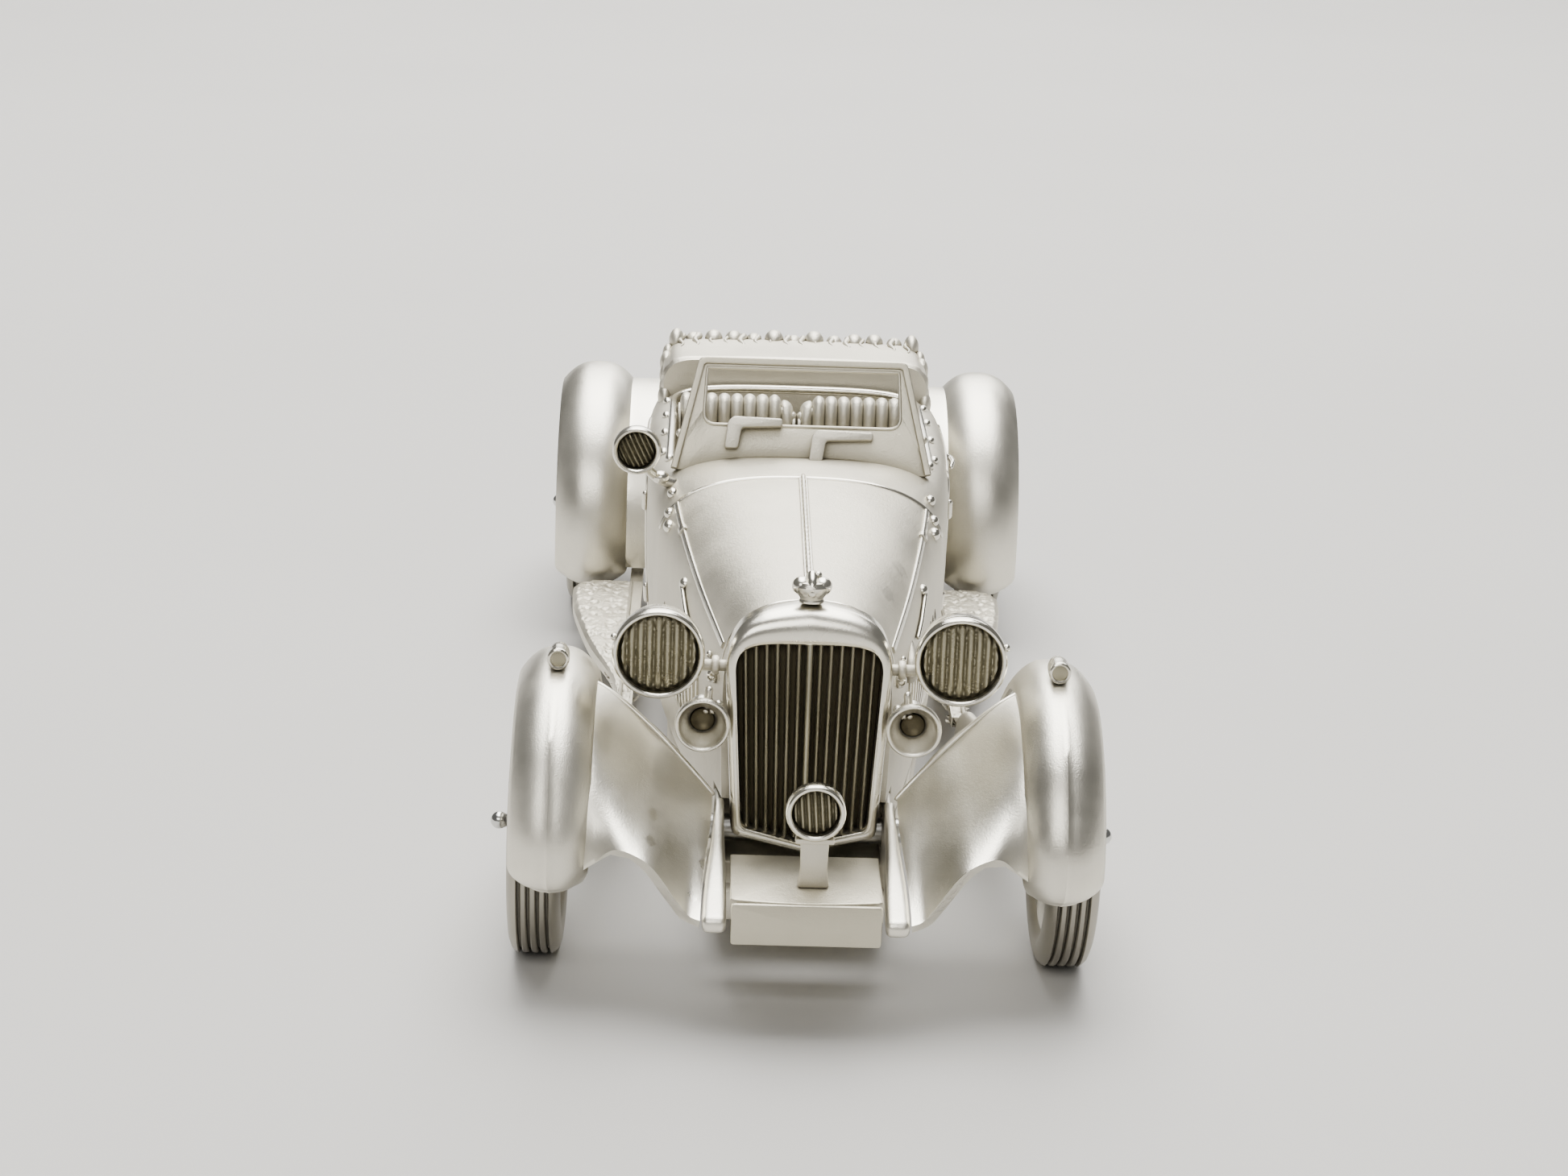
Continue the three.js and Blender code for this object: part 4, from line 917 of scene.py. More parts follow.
def opening_outline(gap=0.0):
    half, low = SHELL_HALF - 0.03 - SHELL_RIM - gap, SHELL_RIM + gap
    top = SHELL_HEIGHT - SHELL_CROWN - gap
    foot = SHELL_FOOT_HALF - SHELL_RIM - gap
    return shell_outline(foot, half, low, top, top - 1.6, [(half, top + 0.12), (half - 1.5, top)])


def ring_between(a_line, b_line, share, depth):
    """A ring between two outlines in X and Z, at a share of the way and a depth."""
    points = [mix(a, b, share) for a, b in zip(a_line, b_line)]
    return [Vector((p.x, depth, p.y)) for p in points]


def radiator_shell():
    outer, opening = outer_outline(), opening_outline()
    rings = []
    for share, depth in [(0, 2.2), (0, 0.4), (0.03, 0.16), (0.1, 0.04), (0.22, 0), (0.38, 0)]:
        rings.append(ring_between(opening, outer, share, depth))
    for turn in spaced(0, pi / 2, 10)[1:]:
        ring = ring_between(opening, outer, mix(0.38, 1, sin(turn)), 0)
        for p, a, b in zip(ring, opening, outer):
            p.y = min(0.62 * (b - a).length, 1.5) * (1 - cos(turn))
        rings.append(ring)
    back = SHELL_DEPTH + 0.02
    rings += [ring_between(opening, outer, share, back) for share in (1, 0)]
    return loft(rings, loop=True)


def grille_bar(x, half):
    """One upright half-round bar behind the opening."""
    rings = []
    for t in spaced(0, 1, 14):
        middle = x * mix(1, 1.13, t)
        z = mix(SHELL_RIM + 0.3, SHELL_HEIGHT - SHELL_CROWN + 0.25, t)
        arc = spaced(0, pi, 8)
        rings.append([Vector((middle + half * cos(a), 1.15 - (0.62 + half) * sin(a), z)) for a in arc])
    return loft(rings)


def radiator_grille():
    pitch = (SHELL_FOOT_HALF - SHELL_RIM - 0.1) / (GRILLE_BARS + 0.45)
    bars = range(-GRILLE_BARS, GRILLE_BARS + 1)
    return all_of(grille_bar(i * pitch, 0.2 if i else 0.3) for i in bars)


def radiator_cap():
    """A plain filler cap: a cup that widens upwards, two lobes and a fin between them."""
    profile = [(0, 0), (0.7, 0), (0.74, 0.12), (0.66, 0.22), (0.78, 0.42), (1.02, 0.72), (1.1, 1)]
    cup = lathe(profile + [(0.9, 1.3), (0, 1.45)], 48)
    cap = cup.turned(UPRIGHT).turned(Matrix.Diagonal((1.05, 0.85, 1)))
    cap += ball((0.62, 0, 1.02), 0.62, (1, 1.05, 0.95)).on_both_sides()
    fin = tube([(0, -0.62, 0.7), (0, -0.55, 1.2), (0, -0.15, 1.55), (0, 0.2, 1.66)], 0.31, 14)
    return cap + fin + ball((0.36, 0.3, 1.62), 0.26)


stand_in("radiator_shell", radiator_shell().turned(LEANING), "bright_pewter")
# The bars' darker colour is painted shade.
stand_in("radiator_grille", radiator_grille().turned(LEANING), "grille_bars_painted_shade")
# The core is a near-black slab behind the bars: black wax and painted shade.
core = slab(opening_outline(0.04), 1.1, SHELL_DEPTH - 0.05, 0.02, across)
show("radiator_core", core.turned(LEANING), "black_wax_and_shade")
cap_at = LEANING @ Matrix.Translation((0, 0.5 * SHELL_DEPTH, SHELL_HEIGHT + 0.05))
stand_in("radiator_cap", radiator_cap().turned(cap_at), "bright_pewter")


# ---- front end
def front_pan():
    half = RAIL_INNER - 0.12
    front = span("number_plate_front")[1].y + 0.12
    edge = [(x, front + 0.45 * (x / half) ** 2 - 0.1) for x in spaced(-half + 0.3, half - 0.3, 14)]
    ends = [(-half, front + 0.45), *edge, (half, front + 0.45)]
    return slab([(-half, -6.2), *ends, (half, -6.2)], PAN_TOP - 0.6, PAN_TOP, 0.14)


def number_plate(node):
    low, high = span(node)
    return slab(rounded(rectangle(low.x, low.z, high.x, high.z), 0.22), low.y, high.y, 0.1, across)


stand_in("front_pan", front_pan(), "dull_pewter")
for end in ("front", "rear"):
    plate = f"number_plate_{end}"
    show(f"plate_{end}_cast", number_plate(plate), "dull_pewter", instead=plate)


# ---- lamps and horns
def lamp_body(radius, length):
    """A lamp's bowl and rim; the rim's front edge is at depth 0."""
    inner, shoulder = radius - 0.34, (0.86 * radius, 0.58 * length)
    back = [(0, 1), (0.35, 0.985), (0.6, 0.9), (0.76, 0.76), (0.86, 0.58)]
    bowl = [(r * radius, d * length) for r, d in back]
    bowl += bezier([shoulder, (0.95 * radius, 0.36 * length), (0.93 * radius, 0.95)], 8)
    rim = [(0.93 * radius, 0.92), (0.985 * radius, 0.86), (radius, 0.74), (radius, 0.2)]
    rim += [(radius - 0.05, 0.07), (radius - 0.14, 0), (inner + 0.07, 0.02), (inner, 0.1)]
    return lathe(bowl + rim + [(inner, 0.9), (0, 0.9)], 96)


def lamp_lens(radius, ribs, tilt=0.0):
    """A lens with cast ribs, set back inside the rim."""
    inner = radius - 0.36
    lens = lathe([(r, 0) for r in spaced(0, inner, 34)] + [(inner, 0.86), (0, 0.86)], 120)
    for p in lens.points:
        if p.y == 0:
            share = min(hypot(p.x, p.z) / inner, 1)
            rib = 0.5 + 0.5 * cos(pi * ribs * (p.x * cos(tilt) + p.z * sin(tilt)) / inner)
            p.y = 0.66 - 0.2 * (1 - share**2) - 0.24 * rib**0.8 * smooth(share, 0.99, 0.9)
    return lens


def lamp_place(node):
    """Middle of a lamp's front edge, from its CAD node."""
    low, high = span(node)
    return Vector(((low.x + high.x) / 2, low.y, (low.z + high.z) / 2))


def headlamps():
    at = lamp_place("headlamp_left")
    reach = HEADLAMP_RADIUS + 0.05
    body = lamp_body(HEADLAMP_RADIUS, 4.6)
    body += ball((reach * cos(0.35), 0.35, reach * sin(0.35)), 0.24, segments=14)
    show_pair("headlamp", body.moved(*at), "bright_pewter")
    show_pair("headlamp_lens", lamp_lens(HEADLAMP_RADIUS, 9).moved(*at), "antiqued_lens")
    low, high = span("headlamp_bracket_left")
    y, z = (low.y + high.y) / 2, (low.z + high.z) / 2
    collar = lathe([(0, -0.22), (0.55, -0.22), (0.62, -0.1), (0.62, 0.1), (0.55, 0.22), (0, 0.22)], 32)
    bar = tube([(low.x - 0.2, y, z), (high.x + 0.35, y, z)], 0.36, 16)
    show_pair("headlamp_bracket", bar + collar.turned(SIDEWAYS).moved(low.x + 0.35, y, z), "satin_pewter")


def horns():
    at = lamp_place("horn_left")
    r = HORN_RADIUS
    profile = [(0, 4.4), (0.35, 4.38), (0.6, 4.2), (0.74, 3.8), (0.74, 3.4), (0.62, 3.0), (0.6, 2.2)]
    profile += bezier([(0.6, 2.2), (0.66, 1.2), (1.0, 0.72), (r - 0.1, 0.5)], 10)
    profile += [(r - 0.02, 0.42), (r, 0.25), (r - 0.02, 0.08), (r - 0.1, 0), (r - 0.2, 0.0), (r - 0.27, 0.08)]
    profile += bezier([(r - 0.3, 0.16), (1.25, 0.6), (1.0, 0.8), (0.76, 1.3)], 10)
    bell = lathe(profile + [(0.74, 1.6), (0, 1.66)], 80)
    bell += tube([(-0.95, 1.5, 0.9), (-0.62, 1.5, 0.55)], 0.3)
    bell += tube([(-0.2, 1.6, 0.5), (-0.35, 1.7, 1.75)], 0.26)
    show_pair("horn", bell.moved(*at), "rubbed_pewter")
    # A dark cup deep in each throat: painted shade at the bottom of the horn.
    mouth = lathe([(0, 1.52), (0.3, 1.5), (0.55, 1.4), (0.7, 1.24), (0.7, 1.64), (0, 1.64)], 40)
    show("horn_mouths_painted_shade", mouth.moved(*at).on_both_sides(), "black_wax_and_shade")


def fog_lamp():
    at = lamp_place("fog_lamp")
    stand_in("fog_lamp", lamp_body(FOG_RADIUS, 1.9).moved(*at), "bright_pewter")
    stand_in("fog_lamp_lens", lamp_lens(FOG_RADIUS, 7, tilt=0.08).moved(*at), "antiqued_lens")
    low, high = span("fog_lamp_post")
    outline = [(low.x, high.z + 0.3), (low.x + 0.05, low.z + 0.9), (low.x - 0.12, low.z - 0.12)]
    outline += [(high.x + 0.12, low.z - 0.12), (high.x - 0.05, low.z + 0.9), (high.x, high.z + 0.3)]
    post = slab(rounded(outline, 0.3), low.y - 0.05, high.y + 0.05, 0.1, across)
    saddle = rounded(rectangle(low.x - 0.3, high.z - 0.02, high.x + 0.3, high.z + 0.3), 0.1)
    post += slab(saddle, low.y - 0.12, high.y + 0.12, 0.08, across)
    stand_in("fog_lamp_post", post, "satin_pewter")


def side_lamps():
    low, high = span("side_lamp_left")
    at = ((low.x + high.x) / 2, low.y, high.z - 0.7)
    profile = [(0, 0.1), (0.4, 0.1), (0.44, 0.02), (0.52, 0), (0.6, 0.06), (0.62, 0.2), (0.6, 0.34)]
    profile += [(0.61, 0.9), (0.58, 1.4), (0.48, 1.9), (0.32, 2.3), (0.14, 2.52), (0, 2.6)]
    lamp = lathe([(1.13 * radius, depth) for radius, depth in profile], 40)
    foot = rounded([(0.4, -0.85), (2.3, -1.0), (2.0, -0.3), (0.6, -0.3)], 0.3)
    lamp += slab(foot, -0.2, 0.2, 0.08, lengthwise)
    show_pair("side_lamp", lamp.moved(*at), "bright_pewter")
    glass = lathe([(0, 0.05), (0.34, 0.055), (0.47, 0.08), (0.47, 0.14), (0, 0.14)], 32)
    show("side_lamp_glasses", glass.moved(*at).on_both_sides(), "antiqued_lens")


def spot_lamp():
    at = lamp_place("spot_lamp")
    stand_in("spot_lamp", lamp_body(SPOT_RADIUS, 2.3).moved(*at), "bright_pewter")
    stand_in("spot_lamp_lens", lamp_lens(SPOT_RADIUS, 8, tilt=0.45).moved(*at), "antiqued_lens")
    foot_y = SCREEN_FOOT[1] - 1.2
    foot = Vector((-0.86 * body_half_at(foot_y), foot_y, DECK_TOP - 1.1))
    start = at + Vector((0.5, 1.5, -SPOT_RADIUS + 0.25))
    bend = mix(start, foot, 0.5) + Vector((-0.1, 0.2, -0.25))
    arm = tube(even_curve([start, bend, foot], 20), lambda t: 0.3 + 0.14 * t, 16)
    arm += ball(mix(start, foot, 0.55) + Vector((0, 0, -0.1)), 0.52, (1.2, 1, 0.9))
    stand_in("spot_lamp_bracket", arm, "bright_pewter")


headlamps()
horns()
fog_lamp()
side_lamps()
spot_lamp()

# ---- windscreen
RAKED = Matrix.Translation(SCREEN_FOOT) @ Matrix.Rotation(-SCREEN_RAKE, 4, "X")


def screen_edge(up):
    return mix(SCREEN_FOOT_HALF, SCREEN_TOP_HALF, up / SCREEN_HEIGHT)


def screen_foot(x):
    """How far up the raked frame its lower edge lies at x, just clear of the scuttle."""
    clear = top_height(x, SCREEN_FOOT[1]) + 0.06 - SCREEN_FOOT[2]
    return max(0, clear / cos(SCREEN_RAKE))


def screen_opening(grow=0.0):
    """The window in the windscreen frame, with round lower corners."""

    def side(up):
        return screen_edge(up) - mix(1.5, 0.75, (up - OPENING_LOW) / (OPENING_HIGH - OPENING_LOW)) + grow

    low, high = OPENING_LOW - grow, OPENING_HIGH + grow
    corner = 0.9
    start, stop = (side(low) - corner, low), (side(low + corner), low + corner)
    right = bezier([(0, low), start], 24) + bezier([start, (side(low), low), stop], 10)
    start, end = (side(high), high - 0.1), (side(high) - 0.1, high)
    right += bezier([stop, start], 16) + bezier([start, (side(high), high), end], 4)
    right += bezier([end, (0, high)], 24) + [Vector((0, high))]
    return right + flipped(right[1:-1])


def screen_outside():
    """The outer edge of the frame, point for point with its opening."""
    high, foot = SCREEN_HEIGHT, 0.92 * SCREEN_FOOT_HALF
    right = [Vector((x, screen_foot(x))) for x in spaced(0, foot, 24)[:-1]]
    stop = (screen_edge(0.6), 0.6)
    right += bezier([(foot, screen_foot(foot)), (SCREEN_FOOT_HALF, 0), stop], 10)
    start, end = (screen_edge(high - 0.3), high - 0.3), (screen_edge(high) - 0.3, high)
    right += bezier([stop, start], 16) + bezier([start, (screen_edge(high), high), end], 4)
    right += bezier([end, (0, high)], 24) + [Vector((0, high))]
    return right + flipped(right[1:-1])


def windscreen():
    outer, window = screen_outside(), screen_opening()
    plate = [(0, 0.62), (0, 0.3), (0.04, 0.24), (0.96, 0.24), (1, 0.3), (1, 0.62), (0.96, 0.68), (0.04, 0.68)]
    shape = loft([ring_between(outer, window, share, depth) for share, depth in plate], loop=True)
    high = SCREEN_HEIGHT - 0.24
    rim = [Vector((-screen_edge(up) + 0.24, up)) for up in spaced(0.1, high - 0.2, 24)]
    top = [Vector((x, high)) for x in spaced(-screen_edge(high) + 0.5, screen_edge(high) - 0.5, 30)]
    rim = rim + top + flipped(rim)
    section = rounded(rectangle(-0.24, 0, 0.24, SCREEN_THICK), 0.1)
    rails = []
    for i, p in enumerate(rim):
        along = rim[min(i + 1, len(rim) - 1)] - rim[max(i - 1, 0)]
        out = Vector((-along.y, along.x)).normalized()
        rails.append([Vector((p.x + out.x * a, b, p.y + out.y * a)) for a, b in section])
    shape += loft(rails)
    bead = [Vector((p.x, 0.3, p.y)) for p in even_outline(screen_opening(0.02), 160)]
    shape += tube(bead, 0.13, 10, closed=True)
    shape += ball((screen_edge(2.6) + 0.02, 0.4, 2.6), 0.3, (0.8, 1, 1), 16).on_both_sides()
    show("windscreen_cast", shape.turned(RAKED), "dull_pewter", instead="windscreen_frame")


def wiper(shift, lift, reach):
    """Arm and thick blade, lying on the lower panel of the windscreen."""
    arm = [(-1.45, 1.7), (-1.85, 1.3), (-2.05, -0.6), (-1.1, -0.6), (-0.85, 0.9)]
    shape = slab(rounded(arm + [(reach, 1.05), (reach, 1.6)], 0.22), -0.5, 0.3, 0.12, across)
    return shape.moved(shift, 0, lift).turned(RAKED)


windscreen()
stand_in("wiper_left", wiper(2.55, 1.3, 2.45), "satin_pewter")
stand_in("wiper_right", wiper(-3.4, 2.1, 2), "satin_pewter")


# ---- cockpit
def fluted_block(profile, half, flutes, deep, soft_from):
    """A seat's outline in Y and Z carried across in rounded flutes; the base stays straight."""
    outline = even_outline(rounded(profile, 0.8, steps=6), 120)
    normals = [b - a for a, b in zip(inset(outline, 0), inset(outline, 1))]
    rings = []
    for t in spaced(0, 1, flutes * 10):
        dip = 1 - abs(sin(pi * t * flutes)) ** 0.6
        end = round_off((abs(2 * t - 1) - 0.93) / 0.07)
        ring = []
        for p, inward in zip(outline, normals):
            shift = inward * (deep * dip * smooth(p.y, soft_from, soft_from + 1.2) + 0.5 * end)
            ring.append(Vector((mix(-half, half, t), p.x + shift.x, p.y + shift.y)))
        rings.append(ring)
    return loft(rings)


def seat():
    """The left seat; its inner top corner is dropped, so the pair leaves a V between them."""
    low, high = span("seat_left")
    half, foot = (high.x - low.x) / 2, COCKPIT_FLOOR + GAP
    front, top, rear = low.y, high.z, high.y - 0.3
    back = [(rear - 3.4, foot), (rear - 2.5, top - 0.9), (rear - 2.0, top)]
    back += [(rear - 0.5, top), (rear, top - 1.2), (rear + 0.3, foot)]
    cushion = [(front, foot), (front, 14.4), (front + 0.5, 15.4), (rear - 3.4, 14.9), (rear - 2.6, foot)]
    shape = fluted_block(back, half, 9, 0.34, COCKPIT_FLOOR + 2)
    shape += fluted_block(cushion, half - 0.15, 8, 0.22, COCKPIT_FLOOR + 3)
    wing = [(rear - 3.1, 15), (rear - 2.5, top - 1.5), (rear - 1.6, top - 0.5), (rear - 0.4, top - 1.4)]
    wing = rounded(wing + [(rear, 15)], 0.6)
    shape += slab(wing, half - 0.12, half + 0.12, 0.08, lengthwise).on_both_sides()
    shape = shape.moved(x=(low.x + high.x) / 2)
    for p in shape.points:
        p.z -= 0.65 * smooth(p.z, top - 3, top) * smooth(p.x, low.x + 1.5, low.x)
    for x, drop in ((0.36, 1.15), (1.05, 0.75)):
        post = [(x, high.y - 2.3, COCKPIT_FLOOR + 1), (x, high.y - 2.1, top - drop - 0.3)]
        shape += tube(post, 0.38, 14)
    return shape


def dashboard():
    low, high = span("dashboard")
    shape = slab(rounded(rectangle(low.x, low.z, high.x, high.z), 0.6), low.y, low.y + 0.7, 0.15, across)
    profile = [(0, 0), (0.82, 0), (0.82, 0.3), (0.74, 0.38), (0.64, 0.38), (0.6, 0.24), (0, 0.2)]
    dial = lathe(profile, 36) + tube([(0, 0.26, 0), (0.3, 0.26, 0.34)], 0.05, 6)
    for a in spaced(-0.6, 3.74, 6):
        dial += ball((0.47 * cos(a), 0.24, 0.47 * sin(a)), 0.05, segments=6)
    dial_height, knob_height = 20.8, 19.4
    for x in (-5.6, -3.4, 3.4, 5.6):
        shape += dial.moved(x, low.y + 0.62, dial_height)
    for x in spaced(-1.6, 1.6, 4):
        shape += ball((x, low.y + 0.75, knob_height), 0.2, segments=12)
    return shape


def steering_wheel():
    """Rim, four spokes, boss and column; drawn flat in X and Y, then tilted."""
    ring = [(2.6 * cos(a), 2.6 * sin(a), 0) for a in spaced(0, 2 * pi, 64)[:-1]]
    shape = tube(ring, 0.26, closed=True)
    for turn in spaced(pi / 4, 7 * pi / 4, 3):
        tip = Vector((cos(turn), sin(turn), 0)) * 2.55
        shape += tube([(0, 0, -0.12), tip * 0.5 + Vector((0, 0, -0.1)), tip], lambda t: 0.2 - 0.07 * t, 10)
    boss = [(0, -0.3), (0.5, -0.3), (0.62, -0.1), (0.6, 0.12), (0.36, 0.26), (0.32, 0.36), (0, 0.38)]
    shape += lathe(boss, 32).turned(UPRIGHT) + tube([(0, 0, -0.2), (0, 0, -3.1)], 0.3, 14)
    tilt = Matrix.Rotation(radians(65), 3, "X")
    return shape.turned(tilt).moved(-0.49 * COCKPIT_HALF, COCKPIT_FRONT + 4.4, 20.2)


def gear_levers():
    """Gear lever and hand brake on the cockpit floor."""
    y, z = COCKPIT_FRONT + 6.8, COCKPIT_FLOOR
    shape = tube([(0, y, z), (0, y - 0.6, z + 3.7), (0, y - 0.3, z + 5.1)], 0.2, 10)
    shape += ball((0, y - 0.3, z + 5.3), 0.45)
    shape += tube([(1.3, y + 2.3, z), (1.3, y + 1, z + 3.3)], 0.2, 10) + ball((1.3, y + 0.9, z + 3.5), 0.28)
    gaiter = lathe([(1.1, 0), (0.8, 0.25), (0.45, 0.8), (0.2, 1.0), (0, 1.0)], 24)
    return shape + gaiter.turned(UPRIGHT).moved(0, y, z - 0.02)


show_pair("seat", seat(), "satin_pewter")
stand_in("dashboard", dashboard(), "satin_pewter")
stand_in("steering_wheel", steering_wheel(), "antiqued_dark")
show("floor_levers", gear_levers(), "bright_pewter")


# ---- folded hood
def hood_half_at(t):
    return 0.925 * BODY_HALF * (1 - 0.07 * round_off((t - 0.75) / 0.26))


def hood_ring(t, front, length):
    """A section of the folded hood; its sides show the edges of the folds."""
    y = front + t * length
    ease = 1 - smooth(t, 0.035, 0)
    floor = body_top_at(y) - 3
    w = hood_half_at(t) - 0.22 * (1 - ease)
    top = DECK_TOP + 2.2 - 0.5 * t - 1.5 * round_off((t - 0.75) / 0.26) - 0.22 * (1 - ease)
    left = [Vector((w - 0.3, floor))]
    left += bezier([(w - 0.05, floor + 0.4), (w, top - 1.9)], 12)
    left += bezier([(w, top - 1.9), (w - 0.1, top - 0.1), (w - 2.2, top)], 14)
    left += bezier([(w - 2.2, top), (0.4 * w, top + 0.14), (0, top + 0.12)], 18)
    left.append(Vector((0, top + 0.12)))
    for p in left:
        crease = abs(sin((p.y - floor) * pi / 1.15)) ** 0.5 - 1
        p.x += 0.22 * crease * smooth(p.x, w - 1.3, w - 0.4) * ease
    return [Vector((p.x, y, p.y)) for p in left + flipped(left[:-1])]


def hood():
    front, length = span("hood_bundle")[0].y, 9.8
    stations = [0, 0.004, 0.012, 0.025, 0.04] + spaced(0.06, 0.74, 26) + spaced(0.75, 1, 24)
    shape = loft([hood_ring(t, front, length) for t in stations])
    w, top, rear = hood_half_at(0.6), DECK_TOP + 1.95, front + 0.86 * length
    edge = [(w - 0.12, front + 0.1 * length, top - 3.2), (w - 0.12, front + 0.45 * length, top - 2)]
    edge += [(w - 0.3, front + 0.76 * length, top - 0.9), (w - 1.3, rear, top - 0.3)]
    edge += [(w - 3, rear + 0.1, top - 0.2), (0, rear + 0.15, top - 0.2)]
    ruffles = Shape()
    for i, p in enumerate(even_curve(edge, 11)):
        swell = 0.5 + 0.5 * sin(2.6 * i + 1)
        along_side = smooth(p.x, w - 1.6, w - 0.6)
        at = p - Vector((0.2 * along_side, 0.3 * swell, 0.3 * (1 - swell) - 0.12))
        reach = mix(Vector((1.05, 1.5, 1)), Vector((0.8, 1.7, 1.4)), along_side)
        ruffles += ball(at, 0.58 + 0.14 * swell, reach)
    shape += ruffles.on_both_sides()
    for i, x in enumerate(spaced(-0.86 * w, 0.86 * w, 15)):
        size = 0.24 + 0.09 * sin(1.9 * i)
        z = top - 0.02 - 0.1 * abs(x / w) ** 4
        path = [(x + 0.14 * sin(k), y, z) for k, y in enumerate(spaced(rear - 3.4, rear, 8))]
        shape += tube(path, lambda t, size=size: size * (0.25 + 0.75 * t), 10)
    stand_in("hood_bundle", shape, "satin_pewter")


hood()


# ---- small fittings on the body
def side_knob(y, z, radius, proud=0.1, squash=(1, 1, 1)):
    return ball(side_point(y, z, proud), radius, squash)


def catches():
    """Hinge bosses, catch rod and knobs along one side of the bonnet."""
    shape = Shape()
    for y, z, radius in ((26.6, 22.2, 0.42), (24.4, 21.4, 0.4), (22.9, 20.9, 0.46), (14.2, 19.6, 0.42)):
        shape += side_knob(y, z, radius, -0.02, (1, 1.25, 1))
    shape += tube([side_point(y, z, 0.22) for y, z in ((14.2, 19.5), (11.5, 18.4), (9.8, 17.8))], 0.16, 10)
    return shape + side_knob(4.0, 18.2, 0.26, 0.12) + side_knob(2.3, 17.4, 0.5, 0.15)


def side_blister():
    """A teardrop on the bonnet's left side, its tail up and back."""
    low, high = span("side_blister")
    y, z = 7.2, (low.z + high.z) / 2
    profile = [(0, 0), (0.5, 0.12), (0.82, 0.45), (0.95, 1.0), (0.86, 1.5), (0.6, 2.2), (0.32, 2.9)]
    drop = lathe(profile + [(0.14, 3.4), (0, 3.7)], 36).turned(Matrix.Rotation(radians(38), 3, "X"))
    return drop.turned(Matrix.Diagonal((0.75, 1, 1))).moved(side_point(y, z).x + 0.12, y - 1.0, z - 0.6)


def door_handle():
    low, high = span("door_handle_left")
    x, y, z = low.x + 0.35, high.y - 0.3, (low.z + high.z) / 2
    path = even_curve([(x, y - 2.1, z - 0.12), (x + 0.16, y - 1, z + 0.02), (x + 0.05, y, z)], 12)
    boss = lathe([(0, -0.5), (0.4, -0.5), (0.46, -0.35), (0.3, -0.1), (0.24, 0.1), (0, 0.14)], 28)
    return tube(path, lambda t: 0.15 + 0.1 * t) + boss.turned(SIDEWAYS).moved(x, y, z)


def tail_lamp():
    profile = [(0, -0.4), (0.45, -0.35), (0.66, 0.1), (0.84, 0.6), (0.86, 1.5), (0.8, 1.62), (0.7, 1.62)]
    profile += [(0.66, 1.5), *bezier([(0.66, 1.5), (0.6, 1.86), (0, 1.9)], 8), (0, 1.9)]
    return lathe(profile, 44).moved(*lamp_place("tail_lamp_left"))


show_pair("bonnet_catch", catches(), "bright_pewter")
stand_in("side_blister", side_blister(), "satin_pewter")
show_pair("door_handle", door_handle(), "bright_pewter")
show_pair("tail_lamp", tail_lamp(), "bright_pewter")


# ---- wheels and axles
def tyre():
    half, r, inner = TYRE_WIDTH / 2, TYRE_RADIUS, TYRE_INNER
    wall = [(inner, -half + 0.5), (inner + 0.3, -half + 0.16), (inner + 0.8, -half), (r - 1.2, -half)]
    wall += [(r - 0.75, -half + 0.05), (r - 0.3, -half + 0.22), (r - 0.06, -half + 0.48)]
    tread = []
    for at in (-0.86, -0.29, 0.29, 0.86):
        tread += [(r, at - 0.17), (r - 0.07, at - 0.1), (r - 0.3, at - 0.05)]
        tread += [(r - 0.3, at + 0.05), (r - 0.07, at + 0.1), (r, at + 0.17)]
    other_wall = [(radius, -depth) for radius, depth in wall[::-1]]
    return lathe(wall + tread + other_wall, 128, loop=True).turned(SIDEWAYS)


def wheel():
    """A cast wire wheel: rim, spokes in relief over a dished disc, and a hub with a nut."""
    half, rim, spokes = TYRE_WIDTH / 2, TYRE_INNER - 0.05, 30
    profile = [(0.7, -half + 0.6), (1.9, -half + 0.6), (rim - 0.9, -half + 0.9), (rim, -half + 0.5)]
    front = [(rim, 0.45), (rim - 0.12, 0.36), (rim - 0.4, 0.36), (rim - 0.55, 0.5), (rim - 0.7, 1.2)]
    front += [(rim - 1.0, 1.45), (2.1, 1.0), (1.85, 0.8), (1.75, 0.2), (1.55, -0.1), (1.2, -0.16)]
    profile += [(radius, half - back) for radius, back in front + [(1.1, -0.3), (0.9, -0.34), (0.7, -0.3)]]
    shape = lathe(profile, 120, loop=True).turned(SIDEWAYS)
    for i, turn in enumerate(spaced(0, 2 * pi, spokes)[:-1]):
        lean = turn + (0.16 if i % 2 else -0.16)
        near = Vector((half - 0.75, 1.75 * cos(lean), 1.75 * sin(lean)))
        far = Vector((half - 1.15, (rim - 0.6) * cos(turn), (rim - 0.6) * sin(turn)))
        shape += tube([near, mix(near, far, 0.5), far], 0.11, 8)
    return shape


def axle(node):
    """A turned axle with a ball on each end, outside the hub nuts."""
    low, high = span(node)
    neck = TRACK_HALF + TYRE_WIDTH / 2 + 0.2
    half = [(0, high.x)] + [(0.55 * sin(a), high.x - 0.55 * (1 - cos(a))) for a in spaced(0.3, 2.2, 8)]
    half += [(0.36, neck + 0.15), (0.8, neck), (0.8, neck - 0.3)]
    profile = half + [(radius, -depth) for radius, depth in half[::-1]]
    return lathe(profile, 48).turned(SIDEWAYS).moved(0, (low.y + high.y) / 2, TYRE_RADIUS)


